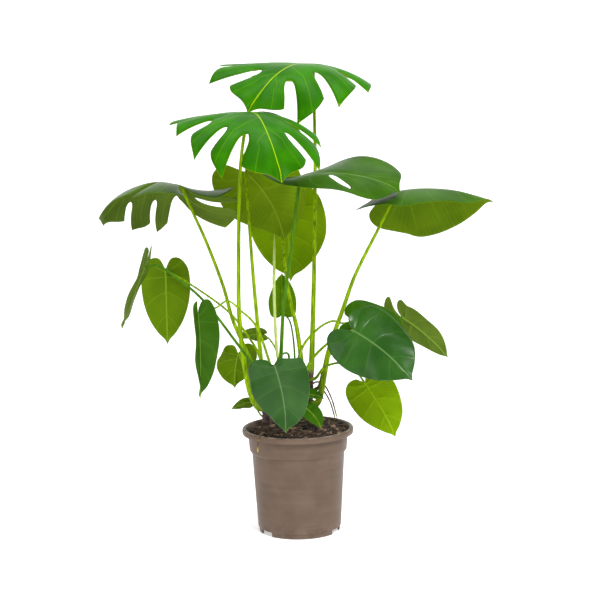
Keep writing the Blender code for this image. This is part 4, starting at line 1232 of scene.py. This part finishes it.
def pot_material(settings):
    """Moulded plastic: fine grain, faint flow bands round it, scuffs and dust that
    lie thicker near the foot, and a painted highlight, pale and patchy, along the
    top of the lip."""
    made = Finish("pot_plastic")
    place = made.node("ShaderNodeSeparateXYZ")
    made.set(place.inputs[0], made.position())
    height = place.outputs[2]
    body, pale = tuple(settings.colour), tuple(settings.dust_and_highlight)
    cloud = made.noise(22.0, 4.0)
    bands = made.noise(1.0, 3.0, made.stretched((6.0, 6.0, 170.0)))
    grain = made.noise(900.0, 2.0)
    dark = tuple(0.80 * part for part in body)
    shades = made.mix(made.between(cloud, 0.3, 0.7), dark, body)
    shades = made.mix(made.math("MULTIPLY", made.between(bands, 0.40, 0.75), 0.06), shades, pale)
    scuffs = made.between(made.noise(1.0, 5.0, made.stretched((60.0, 60.0, 380.0)), 0.7), 0.62, 0.70)
    shades = made.mix(made.math("MULTIPLY", scuffs, 0.07), shades, pale)
    # painted highlight: the top of the lip is painted pale in patches
    painted_rim_highlight = made.between(height, settings.height - 0.0016, settings.height - 0.0003)
    dust_and_highlight = made.between(made.noise(60.0, 4.0), 0.38, 0.60)
    shades = made.mix(made.math("MULTIPLY", made.math("MULTIPLY", painted_rim_highlight, dust_and_highlight), 0.75), shades, pale)
    dust = made.math("MULTIPLY", made.between(height, 0.0, 0.04, 0.18, 0.0), dust_and_highlight)
    shades = made.mix(dust, shades, pale)
    made.colour(shades)
    made.rough(made.math("MULTIPLY_ADD", cloud, 0.20, 0.30))
    made.normal(made.bump(grain, 0.12, 0.0003))
    made.plain(Specular_IOR_Level=0.08)
    return made.material


def soil_material(key, dark, light, pale):
    """Moist peat: dark crumbs with paler grains."""
    made = Finish("soil_" + key)
    crumbs = made.noise(260.0, 6.0, roughness=0.65)
    patches = made.noise(45.0, 3.0)
    shades = made.mix(made.between(crumbs, 0.35, 0.62), dark, light)
    shades = made.mix(made.between(patches, 0.5, 0.7, 0.0, 0.4), shades, dark)
    shades = made.mix(made.between(made.noise(520.0, 2.0), 0.68, 0.74, 0.0, 0.8), shades, pale)
    made.colour(shades)
    made.rough(made.between(crumbs, 0.3, 0.7, 0.95, 0.75))
    made.normal(made.bump(crumbs, 0.9, 0.0022))
    return made.material


def chip_material(key, dark, middle, pale):
    """Bark chips: every chip its own brown, with grain along it."""
    made = Finish("chip_" + key)
    shade = made.value("shade")
    grain = made.noise(1.0, 4.0, made.stretched((500.0, 300.0, 900.0)))
    shades = made.mix(made.between(shade, 0.15, 0.60), dark, middle)
    shades = made.mix(made.between(shade, 0.72, 0.95), shades, pale)
    shades = made.mix(made.math("MULTIPLY", made.between(grain, 0.4, 0.7), 0.45), shades, dark)
    made.colour(shades)
    made.rough(made.math("MULTIPLY_ADD", grain, 0.2, 0.65))
    made.normal(made.bump(grain, 0.5, 0.0008))
    return made.material


# ------------------------------------------------------------------ settings
def length_setting(name, about, default):
    return FloatProperty(name=name, description=about, default=default, unit="LENGTH", precision=4)


def colour_setting(name, about, default):
    return FloatVectorProperty(name=name, description=about, default=default, subtype="COLOR", size=3)


class PlantLeafSettings(bpy.types.PropertyGroup):
    thickness: length_setting("Thickness", "Thickness of the blade between its veins", 0.0007)
    swell: length_setting("Swell", "How far the blade bulges between two veins", 0.0009)
    furrow: length_setting("Vein furrow", "Depth of the furrow over each main vein", 0.0006)
    rib_furrow: length_setting("Midrib furrow", "Depth of the furrow over the midrib", 0.0005)
    rib_height: length_setting("Midrib height", "Height of the midrib under the blade at the stalk", 0.0019)
    vein_height: length_setting("Vein height", "Height of the main veins under the blade", 0.0005)
    columns: IntProperty(name="Columns", description="Grid steps from midrib to margin", default=34, min=8)


class PlantStalkSettings(bpy.types.PropertyGroup):
    sides: IntProperty(name="Sides", description="Points round a stalk", default=20, min=8)
    furrow: FloatProperty(name="Furrow", description="Depth of the furrow, in radii", default=0.16)
    sheath: FloatProperty(name="Sheath", description="Height of the sheath's wings, in radii", default=0.45)
    knee: FloatProperty(name="Knee", description="Swelling under the blade, in radii", default=0.22)
    dark: colour_setting("Dark streaks", "Darker colour of the stalks", (0.095, 0.190, 0.001))
    light: colour_setting("Light streaks", "Lighter colour of the stalks", (0.300, 0.470, 0.002))


class PlantPotSettings(bpy.types.PropertyGroup):
    rim_radius: length_setting("Rim radius", "Outer radius of the lip", (POT_HIGH.x - POT_LOW.x) / 2)
    height: length_setting("Height", "Height of the pot", POT_HIGH.z)
    wall: length_setting("Wall", "Thickness of the wall", 0.0017)
    lip: length_setting("Lip", "Height of the turned-down lip", 0.0104)
    collar_bottom: length_setting("Collar", "Height at which the collar steps in", 0.153)
    foot: length_setting("Foot", "Height of the foot ring", 0.009)
    notch: FloatProperty(name="Notch", default=24.0,
                         description="Width of each notch in the foot, in degrees")
    notch_turn: FloatProperty(name="Notch turn", default=335.0,
                              description="Where the first notch is, in degrees")
    drain_radius: length_setting("Drain radius", "Radius of each drain hole", 0.005)
    drain_circle: length_setting("Drain circle", "Radius of the circle of drain holes", 0.048)
    segments: IntProperty(name="Segments", description="Steps round the pot", default=180, min=36)
    colour: colour_setting("Plastic", "Colour of the plastic", (0.158, 0.108, 0.079))
    # this pale colour also paints the highlight along the top of the lip
    dust_and_highlight: colour_setting("Worn plastic", "Colour where it is rubbed or dusty", (0.300, 0.240, 0.200))


class PlantSoilSettings(bpy.types.PropertyGroup):
    chips: IntProperty(name="Chips", default=900, min=0,
                       description="How many chips and crumbs lie on the soil")
    fibres: IntProperty(name="Fibres", description="How many fine fibres lie on the soil", default=90, min=0)


class PlantStageSettings(bpy.types.PropertyGroup):
    floor: colour_setting("Floor", "Colour of the studio floor", (0.92, 0.92, 0.92))
    lens: FloatProperty(name="Lens", description="Focal length of the camera, in millimetres", default=110.7)
    distance: length_setting("Camera distance", "How far in front of the pot the camera stands", 3.406)
    eye: length_setting("Camera height", "Height of the camera above the floor", 0.960)
    aim: length_setting("Aim height", "Height of the point the camera looks at", 0.4398)
    beside: length_setting("Camera offset", "How far the camera stands to the right", 0.0087)
    tilt: FloatProperty(name="Tilt", description="Roll of the camera, in degrees", default=1.1)


# ------------------------------------------------------------------ operators
class PLANT_OT_pot(bpy.types.Operator):
    """The nursery pot in place of the plain CAD pot"""
    bl_idname = "plant.pot"
    bl_label = "Pot"

    def execute(self, context):
        settings = context.scene.plant_pot
        build_pot(settings, pot_material(settings))
        return {"FINISHED"}


class PLANT_OT_soil(bpy.types.Operator):
    """The soil with its bark chips and fibres"""
    bl_idname = "plant.soil"
    bl_label = "Soil"

    def execute(self, context):
        settings = context.scene.plant_soil
        peat = soil_material("peat", (0.012, 0.007, 0.005), (0.060, 0.034, 0.022), (0.22, 0.15, 0.10))
        bark = chip_material("bark", (0.022, 0.011, 0.007), (0.105, 0.055, 0.032), (0.34, 0.22, 0.13))
        husk = chip_material("husk", (0.090, 0.050, 0.030), (0.24, 0.15, 0.09), (0.42, 0.32, 0.21))
        build_soil(peat)
        build_chips(settings, bark)
        build_fibres(settings, husk)
        return {"FINISHED"}


class PLANT_OT_leaves(bpy.types.Operator):
    """Every leaf blade, with its veins and splits"""
    bl_idname = "plant.leaves"
    bl_label = "Leaf blades"

    def execute(self, context):
        settings = context.scene.plant_leaf
        finishes = {key: blade_material(key) for key in BLADE_FINISHES}
        for name, leaf in LEAVES.items():
            piece = build_blade(name, leaf, settings, finishes[LOOKS[name][0]])
            check_place(piece, "blade_" + name)
        return {"FINISHED"}


class PLANT_OT_stalks(bpy.types.Operator):
    """Every leaf stalk, the rolled new leaf and the young shoot"""
    bl_idname = "plant.stalks"
    bl_label = "Stalks"

    def execute(self, context):
        settings = context.scene.plant_stalk
        dark, light = tuple(settings.dark), tuple(settings.light)
        bright = stalk_material("bright", dark, light, (0.260, 0.400, 0.040))
        deep = stalk_material("deep", (0.024, 0.095, 0.003), (0.080, 0.220, 0.006), (0.130, 0.230, 0.020))
        pale = stalk_material("pale", (0.420, 0.560, 0.120), (0.620, 0.720, 0.260), (0.420, 0.520, 0.180))
        for name in STALKS:
            build_stalk(name, settings, deep if name in DEEP_STALKS else bright)
        build_rolled_leaf(settings, pale)
        build_stub(settings, bright)
        return {"FINISHED"}


class PLANT_OT_canes(bpy.types.Operator):
    """The canes with their leaf scars, and the aerial roots"""
    bl_idname = "plant.canes"
    bl_label = "Canes and roots"

    def execute(self, context):
        settings = context.scene.plant_stalk
        cane = bark_material("cane", (0.030, 0.016, 0.016), (0.110, 0.062, 0.050), (0.160, 0.150, 0.060))
        root = bark_material("root", (0.050, 0.026, 0.014), (0.130, 0.070, 0.036), (0.520, 0.400, 0.020))
        for name in RODS:
            if name.startswith("cane"):
                build_cane(name, cane)
            if name.startswith("root"):
                build_root(name, root)
        return {"FINISHED"}


class PLANT_OT_stage(bpy.types.Operator):
    """A pale studio sweep, soft lights and the camera"""
    bl_idname = "plant.stage"
    bl_label = "Stage"

    def execute(self, context):
        settings = context.scene.plant_stage
        build_sweep(settings)
        build_lights()
        context.scene.view_settings.view_transform = "Standard"
        build_camera(context, settings)
        return {"FINISHED"}


class PLANT_PT_panel(bpy.types.Panel):
    bl_label = "Potted monstera"
    bl_space_type = "VIEW_3D"
    bl_region_type = "UI"
    bl_category = "Plant"

    def draw(self, context):
        for operator in OPERATORS:
            self.layout.operator(operator.bl_idname)
        for name in SETTINGS:
            box = self.layout.box()
            box.label(text=name.split("_")[1].title())
            group = getattr(context.scene, name)
            for key in group.bl_rna.properties.keys():
                if key not in {"rna_type", "name"}:
                    box.prop(group, key)


SETTINGS = {
    "plant_pot": PlantPotSettings,
    "plant_soil": PlantSoilSettings,
    "plant_leaf": PlantLeafSettings,
    "plant_stalk": PlantStalkSettings,
    "plant_stage": PlantStageSettings,
}
OPERATORS = (PLANT_OT_pot, PLANT_OT_soil, PLANT_OT_leaves, PLANT_OT_stalks, PLANT_OT_canes, PLANT_OT_stage)
CLASSES = (*SETTINGS.values(), *OPERATORS, PLANT_PT_panel)


def register():
    for cls in CLASSES:
        bpy.utils.register_class(cls)
    for name, group in SETTINGS.items():
        setattr(bpy.types.Scene, name, PointerProperty(type=group))


def unregister():
    for name in SETTINGS:
        delattr(bpy.types.Scene, name)
    for cls in reversed(CLASSES):
        bpy.utils.unregister_class(cls)


# ------------------------------------------------------------------ stage
def check_place(piece, node):
    """Stops the script where a leaf isn't where its CAD solid is."""
    points = np.empty(len(piece.data.vertices) * 3, np.float32)
    piece.data.vertices.foreach_get("co", points)
    points = points.reshape(-1, 3)
    low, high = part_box(node)
    off = max(np.abs(points.min(0) - np.array(low)).max(), np.abs(points.max(0) - np.array(high)).max())
    if off > PLACE_LIMIT:
        raise RuntimeError(f"{piece.name} is {off * 1000:.1f} mm off its CAD solid")


def build_sweep(settings):
    """The floor and backdrop as one sheet: flat, then a quarter turn up, then upright."""
    turn = np.linspace(0, pi / 2, 24)
    flat = [(-6.0, 0.0), (2.0, 0.0)]
    bend = [(2.0 + 1.6 * sin(a), 1.6 * (1 - cos(a))) for a in turn[1:]]
    line = np.array(flat + bend + [(3.6, 7.0)])
    across = np.linspace(-7, 7, 9)
    grid = np.stack([across[None, :] + 0 * line[:, :1], line[:, :1] + 0 * across,
                     line[:, 1:] + 0 * across], -1)
    made = Finish("sweep_paper")
    fibre = made.noise(60.0, 3.0)
    pale = tuple(settings.floor)
    made.colour(made.mix(made.math("MULTIPLY", fibre, 0.06), pale, tuple(0.9 * part for part in pale)))
    made.plain(Roughness=0.9, Emission_Strength=PAPER_GLOW)
    made.shader.inputs["Emission Color"].default_value = (1.0, 1.0, 1.0, 1.0)
    points = grid.reshape(-1, 3)
    sweep_sheet = add_piece("studio_sweep", points, quads(len(line), len(across))[:, ::-1], made.material)
    if sweep_sheet.data.polygons[0].normal.z < 0:
        sweep_sheet.data.flip_normals()


def build_lights():
    """A broad light above the camera, one from the side, one overhead, and a room
    that looks white and lights the plant at WORLD_STRENGTH."""
    world = bpy.data.worlds.new("room")
    bpy.context.scene.world = world
    world.use_nodes = True
    world.node_tree.nodes["Background"].inputs["Color"].default_value = (1.0, 1.0, 1.0, 1.0)
    tree = world.node_tree
    rays = tree.nodes.new("ShaderNodeLightPath")
    strength = tree.nodes.new("ShaderNodeMapRange")
    strength.inputs["To Min"].default_value = WORLD_STRENGTH
    strength.inputs["To Max"].default_value = 1.0
    tree.links.new(rays.outputs["Is Camera Ray"], strength.inputs["Value"])
    tree.links.new(strength.outputs[0], tree.nodes["Background"].inputs["Strength"])
    for name, place, aim, size, power in LIGHTS:
        lamp = bpy.data.lights.new(name, "AREA")
        lamp.shape = "RECTANGLE"
        lamp.size, lamp.size_y = size
        lamp.energy = power
        item = bpy.data.objects.new(name, lamp)
        bpy.context.scene.collection.objects.link(item)
        item.location = place
        item.rotation_euler = (Vector(aim) - Vector(place)).to_track_quat("-Z", "Y").to_euler()


def build_camera(context, settings):
    """The camera in front of the pot, a little above the middle of the plant."""
    data = bpy.data.cameras.new("camera")
    data.lens = settings.lens
    data.sensor_width = 36.0
    camera = bpy.data.objects.new("camera", data)
    context.scene.collection.objects.link(camera)
    camera.location = (settings.beside, -settings.distance, settings.eye)
    aim = Vector((settings.beside, 0.0, settings.aim)) - camera.location
    camera.rotation_mode = "QUATERNION"
    camera.rotation_quaternion = aim.to_track_quat("-Z", "Y")
    roll = Matrix.Rotation(radians(settings.tilt), 4, aim)
    camera.rotation_quaternion = (roll @ camera.rotation_quaternion.to_matrix().to_4x4()).to_quaternion()
    context.scene.camera = camera


def main():
    register()
    for operator in OPERATORS:
        group, name = operator.bl_idname.split(".")
        getattr(getattr(bpy.ops, group), name)()


if __name__ == "__main__":
    main()
